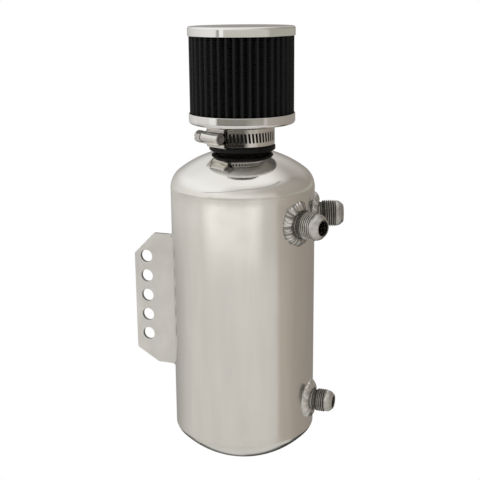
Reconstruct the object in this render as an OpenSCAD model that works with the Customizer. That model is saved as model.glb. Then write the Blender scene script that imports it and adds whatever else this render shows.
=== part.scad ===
// Oil catch can for an engine bay: a welded aluminium can with two flare
// inlets, a flare drain, a side mounting fin and a clamp-on breather filter.
// Origin: centre of the middle hole in the mounting fin. +Z is up, the drain
// points along +X and the fin lies in the XZ plane, on the -X side of the can.

/* [Can body] */
// Outside diameter of the can
can_od = 120; // [104:1:140]
// Wall thickness of the tube and of both domes
can_wall = 3; // [2:0.5:4]
// Height of the straight tube between its two seams
tube_h = 206; // [180:1:280]
// Outside radius of the top dome's crown
top_crown_r = 87; // [76:1:110]
// Outside radius of the top dome's knuckle
top_knuckle_r = 18.5; // [12:0.5:24]
// Outside radius of the bottom dome's crown
bottom_crown_r = 77.5; // [74:0.5:110]
// Outside radius of the bottom dome's knuckle
bottom_knuckle_r = 8; // [6:0.5:24]
// Depth of the bevelled groove that each girth seam is welded in
seam_bevel = 1.5; // [1:0.1:1.8]
// How far a dressed girth seam stands proud of the tube
seam_proud = 0.2; // [0.1:0.05:0.6]

/* [Splash baffle] */
// Thickness of the perforated splash baffle
baffle_t = 2; // [1:0.5:3]
// Distance from the baffle's top face down from the top seam
baffle_drop = 2; // [2:0.5:6]
// Diameter of each drain-back hole in the baffle
baffle_hole_d = 6; // [4:0.5:7]
// Distance between the rings of holes in the baffle
baffle_ring_step = 13; // [10:1:15]

/* [Neck] */
// Outside diameter of the neck that the filter slips over
neck_od = 45; // [40:1:50]
// Wall thickness of the neck
neck_wall = 3; // [2:0.5:4]
// How far the neck reaches below the dome's inner face
neck_inset = 2; // [1:0.5:6]
// Leg length of the fillet weld around the neck
neck_weld_leg = 1.6; // [0.8:0.1:1.7]

/* [Flare inlets] */
// Distance from the top seam down to the inlets' axes
inlet_drop = 23.5; // [22:0.5:56]
// Angle of each inlet to either side of the drain's direction
inlet_spread = 20.5; // [19.5:0.5:40]
// Thread diameter of the inlets
inlet_thread_d = 22.2; // [19:0.1:23]
// Thread length of the inlets
inlet_thread_l = 11; // [8:0.5:14]
// Bore of the inlets
inlet_bore_d = 12.6; // [8:0.1:13]

/* [Flare drain] */
// Height of the drain above the tube's lower seam
drain_z = 24.5; // [22:0.5:60]
// Thread diameter of the drain
drain_thread_d = 19; // [17:0.1:23]
// Thread length of the drain
drain_thread_l = 8.5; // [6:0.5:14]
// Bore of the drain
drain_bore_d = 10.2; // [7:0.1:11]

/* [Flare form] */
// Length of the weld collar outside the tube
collar_l = 4; // [3:0.5:6]
// How far the weld collar's radius stays under the thread's radius
collar_step = 0.4; // [0:0.1:1]
// Width of the relief groove between collar and thread
relief_l = 2.3; // [1.5:0.1:4]
// Depth of the relief groove under the thread's radius
relief_depth = 1.6; // [0.8:0.1:2]
// Length of the plain land between thread and flare cone
land_l = 2.2; // [1:0.1:4]
// Depth of the land under the thread's radius
land_depth = 0.6; // [0.3:0.1:1]
// Angle of the flare cone to the fitting's axis
flare_angle = 37; // [30:1:45]
// Width of the flat nose around the bore
nose_flat = 0.8; // [0.5:0.1:1.5]

/* [Weld beads] */
// How far a fitting's weld reaches out along the can, from the collar
weld_reach = 7.4; // [5:0.2:7.6]
// How high a fitting's weld climbs along the collar
weld_climb = 3.8; // [2:0.2:5]
// Share of that height that the weld still has half-way down its slope
weld_belly = 0.62; // [0.5:0.02:0.7]
// Length of one ripple of the weld, along the bead
ripple_l = 2.7; // [2.2:0.1:4]
// Height of the ripples
ripple_h = 0.45; // [0.2:0.05:0.6]

/* [Mounting fin] */
// Thickness of the fin
fin_t = 3; // [2:0.5:5]
// How far the fin stands out from the tube
fin_reach = 42.5; // [36:0.5:60]
// Height of the fin along the tube
fin_h = 119.5; // [116:0.5:140]
// Height of the fin's lower edge above the tube's lower seam
fin_z = 40; // [20:0.5:50]
// Width and height of the fin's upper corner cut
fin_top_cut = 19.5; // [10:0.5:20]
// Width of the fin's lower corner cut
fin_low_cut_w = 20.5; // [10:0.5:24]
// Height of the fin's lower corner cut
fin_low_cut_h = 12; // [6:0.5:18]
// Diameter of the bolt holes in the fin
fin_hole_d = 11; // [8:0.5:12]
// Number of bolt holes in the fin
fin_holes = 5; // [3:2:5]
// Distance between the bolt holes
fin_hole_pitch = 18; // [16:0.5:19]
// Distance from the fin's outer edge to the holes' centres
fin_hole_edge = 11.5; // [10:0.5:16]
// Height of the middle hole above the fin's lower edge
fin_hole_mid = 62; // [58:0.5:66]
// Radius of the largest puddle in the fin's end welds
tack_r = 3.6; // [2:0.2:5]

/* [Filter] */
// Inside radius step from neck to clamp: wall of the rubber collar
rubber_wall = 3.5; // [2.5:0.5:5]
// Height of the rubber collar below the base cap
rubber_h = 22; // [21:0.5:30]
// Height of the rounded lip at the collar's foot
lip_h = 4; // [3:0.1:5]
// How far the lip stands out from the collar
lip_proud = 1.3; // [0.5:0.1:2]
// Clearance from the lip down to the dome
lip_clear = 2.8; // [1.6:0.2:4]
// Outside diameter of both pressed caps
cap_od = 87; // [80:0.5:100]
// Sheet thickness of both pressed caps
cap_sheet = 0.8; // [0.6:0.1:1.2]
// Height of the base cap
base_cap_h = 8.5; // [7:0.5:12]
// Height of the top cap
top_cap_h = 7.5; // [7:0.5:12]
// Corner radius of the base cap
base_round = 2.5; // [1.5:0.5:4]
// Corner radius of the top cap
top_round = 1.8; // [1:0.2:4]
// Visible height of the pleated element between the caps
element_gap = 61.5; // [40:0.5:100]
// How deep the element is potted in each end
pot_t = 4.8; // [3:0.2:5]
// Number of pleats
pleats = 42; // [30:1:48]
// Depth of the pleats
pleat_depth = 11; // [8:0.5:14]
// Clearance from the pleats' tips to the caps' sheet
pleat_fit = 0.2; // [0.1:0.05:0.6]
// Thickness of the folded media
media_t = 0.9; // [0.6:0.1:1.2]

/* [Worm clamp] */
// Width of the clamp band
band_w = 14.2; // [9:0.1:14.5]
// Thickness of the clamp band
band_t = 0.7; // [0.5:0.1:0.9]
// Distance from the collar's lip up to the band's lower edge
band_lift = 1.3; // [1.3:0.1:2]
// Distance between the band's slots
slot_pitch = 3; // [2.6:0.1:4]
// Length of each slot, across the band
slot_l = 7.8; // [5:0.1:8]
// Width of each slot, along the band
slot_w = 1.5; // [1:0.1:1.8]
// Lean of the slots
slot_lean = 6; // [0:1:10]
// Direction of the screw housing around the neck
clamp_az = 243; // [200:1:300]
// Length of the screw housing
housing_l = 21; // [15:0.5:22]
// Sheet thickness of the screw housing
housing_sheet = 0.85; // [0.6:0.05:1]
// Outside diameter of the worm thread
worm_d = 8; // [6:0.1:9]
// Depth of the worm thread
worm_depth = 0.9; // [0.5:0.1:1.1]
// Width across the flats of the screw's head
hex_af = 9; // [7:0.5:10]
// Length of the screw's head
hex_l = 7.6; // [5:0.2:9]

/* [Clearances] */
// Gap under the weld beads
weld_gap = 0.08; // [0.06:0.01:0.15]
// Running clearance of the screw's journals, on the radius
journal_gap = 0.08; // [0.05:0.01:0.1]
// Clearance around the worm thread
worm_gap = 0.35; // [0.3:0.05:0.6]
// Gap between the layers of the clamp band
band_gap = 0.12; // [0.1:0.01:0.2]

/* [Hidden] */
$fn = 96;

can_r = can_od / 2;
bore_r = can_r - can_wall;
neck_r = neck_od / 2;
collar_r = neck_r + rubber_wall;
cap_r = cap_od / 2;

inlet_z = tube_h - inlet_drop;

// The origin lies in the middle hole of the fin.
hole_r = can_r + fin_reach - fin_hole_edge;
hole_z = fin_z + fin_hole_mid;

// A dome of crown radius c and knuckle radius k over a tube of radius r:
// height of the crown's centre above the seam, height of the dome, and
// height of its outer face at a distance x from the axis.
function crown_z(r, c, k) = -sqrt(pow(c - k, 2) - pow(r - k, 2));
function dome_h(r, c, k) = crown_z(r, c, k) + c;
function crown_face(r, c, k, x) = crown_z(r, c, k) + sqrt(c * c - x * x);
function top_face(x) = tube_h + crown_face(can_r, top_crown_r, top_knuckle_r, x);

// Stack of the neck, the rubber collar and the filter, above the lower seam.
lip_r = collar_r + lip_proud;
rubber_z = top_face(lip_r) + lip_clear;
base_z = rubber_z + rubber_h;
neck_top = base_z + cap_sheet;
element_z = base_z + cap_sheet + pot_t;
base_rim = base_z + base_cap_h;
top_rim = base_rim + element_gap;
top_z = top_rim + top_cap_h;
element_top = top_z - cap_sheet - pot_t;
band_z = rubber_z + lip_h + band_lift + band_w / 2;

// The clamp band is a spiral: its slotted end rides over its fixed end.
band_r = collar_r + 0.05;
band_step = band_t + band_gap;
band_start = 13;
band_turn = 427;
band_ramp = [322, 350];
band_facet = 4;
slot_turn = 240;
screw_r = band_r + band_step + band_t + worm_gap + worm_d / 2;
barrel_r = worm_d / 2 + worm_gap;
tip_r = 2.3;
shank_r = worm_d / 2 - worm_depth;

// Points on an arc about (x, y), from angle a to angle b.
function arc(x, y, r, a, b, n) =
    [for (i = [0 : n]) let (t = a + (b - a) * i / n) [x + r * cos(t), y + r * sin(t)]];

module on_can() {
    translate([hole_r, 0, -hole_z]) children();
}

// Half section of a filled dome: the crown's sector and the knuckle's disc.
module dome_half(r, c, k) {
    lean = asin((r - k) / (c - k));
    intersection() {
        square([r + 1, dome_h(r, c, k) + 1]);
        union() {
            translate([r - k, 0]) circle(r = k);
            intersection() {
                translate([0, crown_z(r, c, k)]) circle(r = c);
                translate([0, crown_z(r, c, k)])
                    polygon([[0, 0], [0, 1.5 * c], [1.5 * c * sin(lean), 1.5 * c * cos(lean)]]);
            }
        }
    }
}

// Section of a dome's sheet, bevelled at the seam.
module dome_sheet(c, k) {
    difference() {
        dome_half(can_r, c, k);
        dome_half(bore_r, c - can_wall, k - can_wall);
        translate([can_r, 0]) bevel();
    }
}

// Triangle that a girth seam's bevel takes off one edge.
module bevel() {
    polygon([[-seam_bevel, -0.001], [1, -0.001], [1, seam_bevel + 1], [0, seam_bevel]]);
}

module seam_bead(z) {
    on_can() translate([0, 0, z]) rotate_extrude()
        polygon([[can_r - seam_bevel, 0], [can_r, -seam_bevel],
            [can_r + seam_proud, -seam_bevel / 2], [can_r + seam_proud, seam_bevel / 2],
            [can_r, seam_bevel]]);
}

// Radius of the hole that a fitting's collar needs in the tube.
function collar_radius(thread_d) = thread_d / 2 - collar_step;

// Turns a fitting's own axis, +Z, to point out of the can.
module at_port(az, z) {
    on_can() translate([0, 0, z]) rotate([0, 0, az]) rotate([0, 90, 0]) children();
}

module port_hole(az, z, thread_d) {
    translate([0, 0, z]) rotate([0, 0, az]) rotate([0, 90, 0])
        cylinder(r = collar_radius(thread_d), h = can_r + 5);
}

module can_tube() {
    color("silver") on_can() difference() {
        rotate_extrude() difference() {
            translate([bore_r, 0]) square([can_wall, tube_h]);
            translate([can_r, 0]) bevel();
            translate([can_r, tube_h]) mirror([0, 1]) bevel();
        }
        port_hole(-inlet_spread, inlet_z, inlet_thread_d);
        port_hole(inlet_spread, inlet_z, inlet_thread_d);
        port_hole(0, drain_z, drain_thread_d);
    }
}

module top_dome() {
    color("gainsboro") on_can() translate([0, 0, tube_h]) difference() {
        rotate_extrude() dome_sheet(top_crown_r, top_knuckle_r);
        cylinder(r = neck_r, h = top_crown_r);
    }
}

module bottom_dome() {
    color("gainsboro") on_can() mirror([0, 0, 1])
        rotate_extrude() dome_sheet(bottom_crown_r, bottom_knuckle_r);
}

module top_seam_weld() {
    color("lightgrey") seam_bead(tube_h);
}

module bottom_seam_weld() {
    color("lightgrey") seam_bead(0);
}

// Perforated plate that throws oil back before the neck.
module splash_baffle() {
    color("darkgrey") on_can() translate([0, 0, tube_h - baffle_drop - baffle_t])
        difference() {
            cylinder(r = bore_r, h = baffle_t);
            for (ring = [1 : 3], i = [0 : 6 * ring - 1])
                rotate([0, 0, i * 60 / ring]) translate([ring * baffle_ring_step, 0, -1])
                    cylinder(d = baffle_hole_d, h = baffle_t + 2, $fn = 32);
        }
}

module neck_spigot() {
    inside = top_face(neck_r) - can_wall - neck_inset;
    color("silver") on_can() translate([0, 0, inside]) difference() {
        cylinder(r = neck_r, h = neck_top - inside);
        translate([0, 0, -1]) cylinder(r = neck_r - neck_wall, h = neck_top - inside + 2);
    }
}

module neck_weld() {
    toe = neck_r + neck_weld_leg;
    color("lightgrey") on_can() rotate_extrude()
        polygon([[neck_r, top_face(neck_r) + weld_gap], [toe, top_face(toe) + weld_gap],
            [neck_r + neck_weld_leg / 3, top_face(neck_r) + neck_weld_leg / 2],
            [neck_r, top_face(neck_r) + neck_weld_leg]]);
}

// A weld-on male flare fitting: collar, relief groove, thread at its full
// diameter, plain land, flare cone and bore. The distances run out from the
// can's axis.
module flare_fitting(thread_d, thread_l, bore_d) {
    body = collar_radius(thread_d);
    thread = thread_d / 2;
    root = sqrt(bore_r * bore_r - body * body) - 0.5;
    collar_end = can_r + collar_l;
    thread_start = collar_end + relief_l;
    thread_end = thread_start + thread_l;
    cone = thread_end + land_l;
    nose_r = bore_d / 2 + nose_flat;
    nose = cone + (thread - land_depth - nose_r) / tan(flare_angle);
    rotate_extrude() polygon([[bore_d / 2, root], [body, root], [body, collar_end],
        [thread - relief_depth, collar_end + 0.3], [thread - relief_depth, thread_start - 0.3],
        [thread - land_depth, thread_start], [thread, thread_start + 0.6],
        [thread, thread_end - 0.6], [thread - land_depth, thread_end],
        [thread - land_depth, cone], [nose_r, nose], [bore_d / 2, nose]]);
}

module inlet_fitting_front() {
    color("dimgrey") at_port(-inlet_spread, inlet_z)
        flare_fitting(inlet_thread_d, inlet_thread_l, inlet_bore_d);
}

module inlet_fitting_rear() {
    color("dimgrey") at_port(inlet_spread, inlet_z)
        flare_fitting(inlet_thread_d, inlet_thread_l, inlet_bore_d);
}

module drain_fitting() {
    color("dimgrey") at_port(0, drain_z)
        flare_fitting(drain_thread_d, drain_thread_l, drain_bore_d);
}

// Distance of the tube's outer face from the can's axis, at a radius rho and
// an angle t around a fitting whose axis crosses the can's.
function saddle(rho, t) = sqrt(can_r * can_r - pow(rho * sin(t), 2));

// One ring of the weld's section: three points on the tube, one on the bead's
// swollen face and one against the collar. The ripple is a lapped scale.
function bead_ring(inner, t, swell) =
    let (toe = inner + weld_reach + swell * 0.6, mid = inner + weld_reach * 0.5)
    [[inner, saddle(inner, t) + weld_gap], [mid, saddle(mid, t) + weld_gap],
        [toe, saddle(toe, t) + weld_gap],
        [mid, saddle(mid, t) + weld_climb * weld_belly + swell],
        [inner, saddle(inner, t) + weld_climb + swell * 0.5]];

// A rippled weld bead that follows the saddle between a fitting and the tube.
module saddle_weld(thread_d) {
    inner = collar_radius(thread_d) + weld_gap;
    ripples = round(2 * PI * (inner + weld_reach / 2) / ripple_l);
    steps = [0, 0.35, 0.7, 0.9];
    swells = [0, 0.75, 1, 0.4];
    n = ripples * len(steps);
    points = [for (i = [0 : ripples - 1], j = [0 : len(steps) - 1])
        let (t = 360 * (i + steps[j]) / ripples)
        for (p = bead_ring(inner, t, swells[j] * ripple_h))
            [p[0] * cos(t), p[0] * sin(t), p[1]]];
    faces = [for (i = [0 : n - 1], j = [0 : 4])
        let (a = i * 5, b = ((i + 1) % n) * 5, k = (j + 1) % 5)
        for (f = [[a + j, a + k, b + k], [a + j, b + k, b + j]]) f];
    polyhedron(points, faces);
}

module inlet_weld_front() {
    color("lightgrey") at_port(-inlet_spread, inlet_z) saddle_weld(inlet_thread_d);
}

module inlet_weld_rear() {
    color("lightgrey") at_port(inlet_spread, inlet_z) saddle_weld(inlet_thread_d);
}

module drain_weld() {
    color("lightgrey") at_port(0, drain_z) saddle_weld(drain_thread_d);
}

// Outline of the fin in the XZ plane, x running out from the tube.
module fin_outline() {
    polygon([[0, 0], [fin_reach - fin_low_cut_w, 0], [fin_reach, fin_low_cut_h],
        [fin_reach, fin_h - fin_top_cut], [fin_reach - fin_top_cut, fin_h], [0, fin_h]]);
}

module mounting_fin() {
    color("silver") on_can() translate([0, fin_t / 2, fin_z]) rotate([90, 0, 0])
        difference() {
            mirror([1, 0, 0]) translate([can_r, 0, 0]) linear_extrude(fin_t) fin_outline();
            for (i = [-(fin_holes - 1) / 2 : (fin_holes - 1) / 2])
                translate([-hole_r, fin_hole_mid + i * fin_hole_pitch, -1])
                    cylinder(d = fin_hole_d, h = fin_t + 2);
        }
}

// Three lapped weld puddles over one end of the fin, running out from the tube.
module fin_weld(z) {
    color("lightgrey") on_can() difference() {
        for (i = [0 : 2])
            translate([-can_r - 0.3 - i * tack_r * 0.7, 0, z]) sphere(r = tack_r - 0.4 * i, $fn = 32);
        cylinder(r = can_r, h = tube_h);
        translate([-can_r - fin_reach, -fin_t / 2, fin_z]) cube([fin_reach + 1, fin_t, fin_h]);
    }
}

module fin_weld_upper() {
    fin_weld(fin_z + fin_h);
}

module fin_weld_lower() {
    fin_weld(fin_z);
}

// Moulded rubber: the collar that the clamp squeezes on the neck, with its
// rounded lip, and the flange that holds the pleats in the base cap.
module rubber_collar() {
    relief = neck_weld_leg + 0.3;
    round_r = min(lip_h / 2, lip_r - neck_r - relief);
    color([0.09, 0.09, 0.1]) on_can() rotate_extrude()
        polygon(concat([[neck_r, rubber_z + relief], [neck_r + relief, rubber_z]],
            arc(lip_r - round_r, rubber_z + round_r, round_r, -90, 90, 10),
            [[collar_r, rubber_z + 2 * round_r], [collar_r, base_z + cap_sheet],
                [cap_r - cap_sheet - base_round, base_z + cap_sheet],
                [cap_r - cap_sheet, base_z + base_round],
                [cap_r - cap_sheet, element_z], [neck_r, element_z]]));
}

// Half section of a pressed cap's sheet, open upwards: flat disc from the
// radius hole, rounded corner and rim.
module cap_sheet_half(hole, h, round_r) {
    inner_r = max(round_r - cap_sheet, 0.2);
    polygon(concat([[hole, 0]],
        arc(cap_r - round_r, round_r, round_r, -90, 0, 8),
        [[cap_r, h], [cap_r - cap_sheet, h]],
        arc(cap_r - cap_sheet - inner_r, cap_sheet + inner_r, inner_r, 0, -90, 8),
        [[hole, cap_sheet]]));
}

module filter_base_cap() {
    color("white") on_can() translate([0, 0, base_z]) rotate_extrude()
        cap_sheet_half(collar_r, base_cap_h, base_round);
}

module filter_top_cap() {
    color("white") on_can() translate([0, 0, top_z]) mirror([0, 0, 1]) rotate_extrude()
        cap_sheet_half(0, top_cap_h, top_round);
}

// Ring of sealant that closes the pleats' upper ends.
module top_potting() {
    outer = cap_r - cap_sheet;
    color([0.15, 0.15, 0.16]) on_can() translate([0, 0, element_top]) difference() {
        cylinder(r = outer - top_round, h = pot_t);
        translate([0, 0, -1]) cylinder(r = pleat_in - 2, h = pot_t + 2);
    }
}

// Filter media folded into a ring of pleats. Each outer fold is rounded by
// three points, and each inner fold by two.
pleat_out = cap_r - cap_sheet - pleat_fit;
pleat_in = pleat_out - pleat_depth;
pleat_step = 360 / pleats;
fold_skew = media_t / 2 / sin(atan((pleat_in + pleat_out) / 2 * PI / pleats / pleat_depth));

function polar(r, a) = [r * cos(a), r * sin(a)];
function turn_of(w, r) = w / r * 180 / PI;

module pleat_ring() {
    outer_turn = turn_of(media_t * 0.85, pleat_out);
    inner_turn = turn_of(media_t * 0.6, pleat_in);
    difference() {
        polygon([for (i = [0 : pleats - 1]) let (a = i * pleat_step)
            for (p = [polar(pleat_out - 0.35, a - outer_turn), polar(pleat_out, a),
                polar(pleat_out - 0.35, a + outer_turn),
                polar(pleat_in + fold_skew, a + pleat_step / 2)]) p]);
        polygon([for (i = [0 : pleats - 1]) let (a = i * pleat_step)
            for (p = [polar(pleat_out - fold_skew, a),
                polar(pleat_in, a + pleat_step / 2 - inner_turn),
                polar(pleat_in, a + pleat_step / 2 + inner_turn)]) p]);
    }
}

module pleated_element() {
    color([0.12, 0.12, 0.13]) on_can() translate([0, 0, element_z])
        linear_extrude(element_top - element_z) pleat_ring();
}

// Turns the clamp's own frame to its place: -X along the screw to its head,
// Y out from the neck, Z up, with its origin on the can's axis at the band's
// middle height. The frame is mirrored, so a right-hand worm twists forwards.
module at_clamp() {
    on_can() translate([0, 0, band_z]) rotate([0, 0, clamp_az - 90]) mirror([1, 0, 0]) children();
}

// Height of the band's layer at a turn s along it, smoothly rising to ride
// over its own fixed end.
function band_rise(s) =
    s < band_ramp[0] ? 0 : s > band_ramp[1] ? band_step
    : band_step * (1 - cos(180 * (s - band_ramp[0]) / (band_ramp[1] - band_ramp[0]))) / 2;
function band_angle(s) = clamp_az + band_start - s;

// Slotted stainless band, wound once round the collar, with its tail lapped
// over its start.
module clamp_band() {
    stations = [for (s = [0 : band_facet : band_turn]) s];
    inner = [for (s = stations) polar(band_r + band_rise(s), band_angle(s))];
    outer = [for (i = [len(stations) - 1 : -1 : 0])
        polar(band_r + band_t + band_rise(stations[i]), band_angle(stations[i]))];
    slot_step = turn_of(slot_pitch, band_r);
    color("silver") on_can() translate([0, 0, band_z]) difference() {
        translate([0, 0, -band_w / 2]) linear_extrude(band_w) polygon(concat(inner, outer));
        for (s = [band_turn - slot_turn : slot_step : band_turn - slot_step])
            rotate([0, 0, band_angle(s)])
                translate([band_r + band_rise(s) + band_t / 2, 0, 0]) rotate([slot_lean, 0, 0])
                    cube([band_t * 1.7, slot_w, slot_l], center = true);
    }
}

// Section of the screw housing across the band: a barrel on a saddle whose
// feet straddle the band's edges. X is up along the can, Y out from the neck.
module housing_section() {
    foot = band_w / 2 + 0.25;
    shoulder = screw_r - worm_d / 2 + 0.6;
    difference() {
        union() {
            translate([0, screw_r]) circle(r = barrel_r + housing_sheet);
            translate([-barrel_r - housing_sheet, shoulder])
                square([2 * (barrel_r + housing_sheet), screw_r - shoulder]);
            translate([-foot - housing_sheet, band_r])
                square([2 * (foot + housing_sheet), shoulder + housing_sheet - band_r]);
        }
        housing_hollow(foot, shoulder);
    }
}

module housing_hollow(foot, shoulder) {
    translate([0, screw_r]) circle(r = barrel_r);
    translate([-barrel_r, shoulder - 0.5]) square([2 * barrel_r, screw_r - shoulder + 0.5]);
    translate([-foot, band_r - 1]) square([2 * foot, shoulder - band_r + 1]);
}

// Pressed housing round the worm, with an end wall and a journal hole at
// each end. The walls stay above the band.
module clamp_housing() {
    wall_y = band_r + band_step + band_t + 0.3;
    color("lightgrey") at_clamp() difference() {
        union() {
            rotate([90, 0, 90]) translate([0, 0, -housing_l / 2]) linear_extrude(housing_l)
                mirror([1, -1]) housing_section();
            for (x = [-housing_l / 2, housing_l / 2 - housing_sheet])
                intersection() {
                    translate([x, screw_r, 0]) rotate([0, 90, 0])
                        cylinder(r = barrel_r + housing_sheet / 2, h = housing_sheet);
                    translate([x - 1, wall_y, -barrel_r * 2])
                        cube([housing_sheet + 2, barrel_r * 4, barrel_r * 4]);
                }
        }
        translate([-housing_l / 2 - 1, screw_r, 0]) rotate([0, 90, 0])
            cylinder(r = shank_r + journal_gap, h = housing_sheet + 2);
        translate([housing_l / 2 - housing_sheet - 1, screw_r, 0]) rotate([0, 90, 0])
            cylinder(r = tip_r + journal_gap, h = housing_sheet + 2);
    }
}

// Hex-headed worm screw, head towards -X: head, shank journal, worm and tip
// journal.
module clamp_screw() {
    worm_l = housing_l - 2 * housing_sheet - 0.6;
    color("whitesmoke") at_clamp() translate([0, screw_r, 0]) rotate([0, 90, 0]) {
        difference() {
            translate([0, 0, -housing_l / 2 - 0.3 - hex_l]) intersection() {
                cylinder(d = hex_af / cos(30), h = hex_l, $fn = 6);
                cylinder(r1 = hex_af / 2 - 0.2, r2 = hex_af / 2 + hex_l, h = hex_l);
                cylinder(r2 = hex_af / 2 - 0.2, r1 = hex_af / 2 + hex_l, h = hex_l);
            }
            translate([-0.6, -hex_af, -housing_l / 2 - 1.3 - hex_l])
                cube([1.2, 2 * hex_af, 2.6]);
        }
        translate([0, 0, -housing_l / 2 - 0.3]) cylinder(r = shank_r, h = housing_sheet + 0.9);
        translate([0, 0, -worm_l / 2])
            linear_extrude(worm_l, twist = 360 * worm_l / slot_pitch, slices = 44, $fn = 16)
                translate([worm_depth / 2, 0]) circle(r = worm_d / 2 - worm_depth / 2, $fn = 16);
        translate([0, 0, worm_l / 2]) cylinder(r = tip_r, h = housing_sheet + 0.6);
    }
}

can_tube();
top_dome();
bottom_dome();
top_seam_weld();
bottom_seam_weld();
splash_baffle();
neck_spigot();
neck_weld();
inlet_fitting_front();
inlet_fitting_rear();
drain_fitting();
inlet_weld_front();
inlet_weld_rear();
drain_weld();
mounting_fin();
fin_weld_upper();
fin_weld_lower();
rubber_collar();
filter_base_cap();
pleated_element();
filter_top_cap();
top_potting();
clamp_band();
clamp_housing();
clamp_screw();
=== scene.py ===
# %% [markdown]
# # Dressing an oil catch can
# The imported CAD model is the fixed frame. Each visible piece is made again here with
# finer form, in metres and in the same place, and gets a finish built from nodes.

# %% Load the frame
import math
from collections import namedtuple

import bmesh
import bpy
import numpy as np
from mathutils import Matrix, Vector


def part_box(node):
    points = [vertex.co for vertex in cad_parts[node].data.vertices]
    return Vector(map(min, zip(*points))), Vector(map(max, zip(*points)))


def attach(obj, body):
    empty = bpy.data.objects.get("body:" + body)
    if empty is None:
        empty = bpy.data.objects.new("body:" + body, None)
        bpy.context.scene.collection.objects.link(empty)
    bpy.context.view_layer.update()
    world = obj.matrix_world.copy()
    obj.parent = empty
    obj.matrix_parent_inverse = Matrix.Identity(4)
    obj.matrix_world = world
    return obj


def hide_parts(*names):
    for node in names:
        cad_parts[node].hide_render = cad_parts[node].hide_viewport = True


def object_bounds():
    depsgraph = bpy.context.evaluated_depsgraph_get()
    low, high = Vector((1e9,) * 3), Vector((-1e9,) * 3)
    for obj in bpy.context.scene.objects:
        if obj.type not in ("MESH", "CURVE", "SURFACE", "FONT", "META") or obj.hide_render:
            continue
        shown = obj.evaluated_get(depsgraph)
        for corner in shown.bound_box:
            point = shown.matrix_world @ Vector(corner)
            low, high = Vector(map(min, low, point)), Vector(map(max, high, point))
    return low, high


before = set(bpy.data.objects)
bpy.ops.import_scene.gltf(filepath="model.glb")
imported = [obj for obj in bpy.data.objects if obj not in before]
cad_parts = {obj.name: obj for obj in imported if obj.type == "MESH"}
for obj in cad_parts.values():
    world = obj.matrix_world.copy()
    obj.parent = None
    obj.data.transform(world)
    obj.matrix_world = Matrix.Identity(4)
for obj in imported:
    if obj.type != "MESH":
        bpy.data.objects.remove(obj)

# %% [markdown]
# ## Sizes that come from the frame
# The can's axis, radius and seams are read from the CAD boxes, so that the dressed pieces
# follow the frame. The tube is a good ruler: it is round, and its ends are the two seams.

MM = 0.001
cad_low, cad_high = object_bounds()
tube_low, tube_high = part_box("can_tube")
AXIS_X = (tube_low.x + tube_high.x) / 2
CAN_R = (tube_high.y - tube_low.y) / 2
WALL = 3 * MM
SEAM_LOW = tube_low.z
SEAM_TOP = tube_high.z
print(f"can: radius {CAN_R / MM:.1f} mm, tube {(SEAM_TOP - SEAM_LOW) / MM:.1f} mm high")

# %% [markdown]
# ## Skins of quads
# Most pieces of a can are turned or swept, so they are rows of points joined by quads. One
# helper makes such a skin, closed around or along where that is asked. Doubles are merged
# at the poles, and then the faces are turned outwards.

# %% Make a skin from rows of points
SHARP, CUT_SHARP = math.radians(38), math.radians(50)


def join_rows(name, points, around=True, along=False, uv=None, soiled=None):
    rows, cols = points.shape[:2]
    i = np.arange(rows if along else rows - 1)[:, None]
    j = np.arange(cols if around else cols - 1)[None, :]
    i2, j2 = (i + 1) % rows, (j + 1) % cols
    quads = np.stack([i * cols + j, i * cols + j2, i2 * cols + j2, i2 * cols + j], axis=-1)
    mesh = bpy.data.meshes.new(name)
    mesh.from_pydata(points.reshape(-1, 3).tolist(), [], quads.reshape(-1, 4).tolist())
    if uv is not None:
        place_uv(mesh, uv, i, j)
    if soiled is not None:
        mark_points(mesh, "soiled", "FLOAT", soiled)
    return mesh


def mark_points(mesh, name, kind, values):
    """Stores a number, or a vector, with each point of a mesh."""
    field = "vector" if kind == "FLOAT_VECTOR" else "value"
    stored = mesh.attributes.new(name, kind, "POINT").data
    stored.foreach_set(field, values.astype(np.float32).reshape(-1))


def place_uv(mesh, uv, i, j):
    """Gives each quad's corners their (around, along) lengths, with no jump at the closing quad."""
    u, v = uv
    i, j = np.broadcast_arrays(i, j)
    corners = [(i, j), (i, j + 1), (i + 1, j + 1), (i + 1, j)]
    values = np.stack([np.stack([u[b], v[a]], axis=-1) for a, b in corners], axis=2)
    layer = mesh.uv_layers.new(name="lengths")
    layer.data.foreach_set("uv", values.reshape(-1).astype(np.float32))


def tidy_skin(mesh, sharp=SHARP):
    """Merges doubles, turns the faces outwards and smooths all but the sharp edges."""
    work = bmesh.new()
    work.from_mesh(mesh)
    bmesh.ops.remove_doubles(work, verts=work.verts, dist=1e-7)
    bmesh.ops.dissolve_degenerate(work, edges=work.edges, dist=1e-8)
    bmesh.ops.recalc_face_normals(work, faces=work.faces)
    work.to_mesh(mesh)
    work.free()
    mesh.shade_smooth()
    mesh.set_sharp_from_angle(angle=sharp)
    return mesh


def plain_mesh(host):
    """Removes an object, and returns the mesh that it shows after its modifiers."""
    bpy.context.scene.collection.objects.link(host)
    state = bpy.context.evaluated_depsgraph_get()
    mesh = bpy.data.meshes.new_from_object(host.evaluated_get(state), depsgraph=state)
    bpy.data.objects.remove(host)
    return mesh


# %% [markdown]
# ## Turned pieces
# A turned piece is drawn as half a section: corners with a radius each, as on a workshop
# drawing. The corners are rounded into short arcs, and the section goes round an axis. A
# closed section gives a piece with a real wall.

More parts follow.
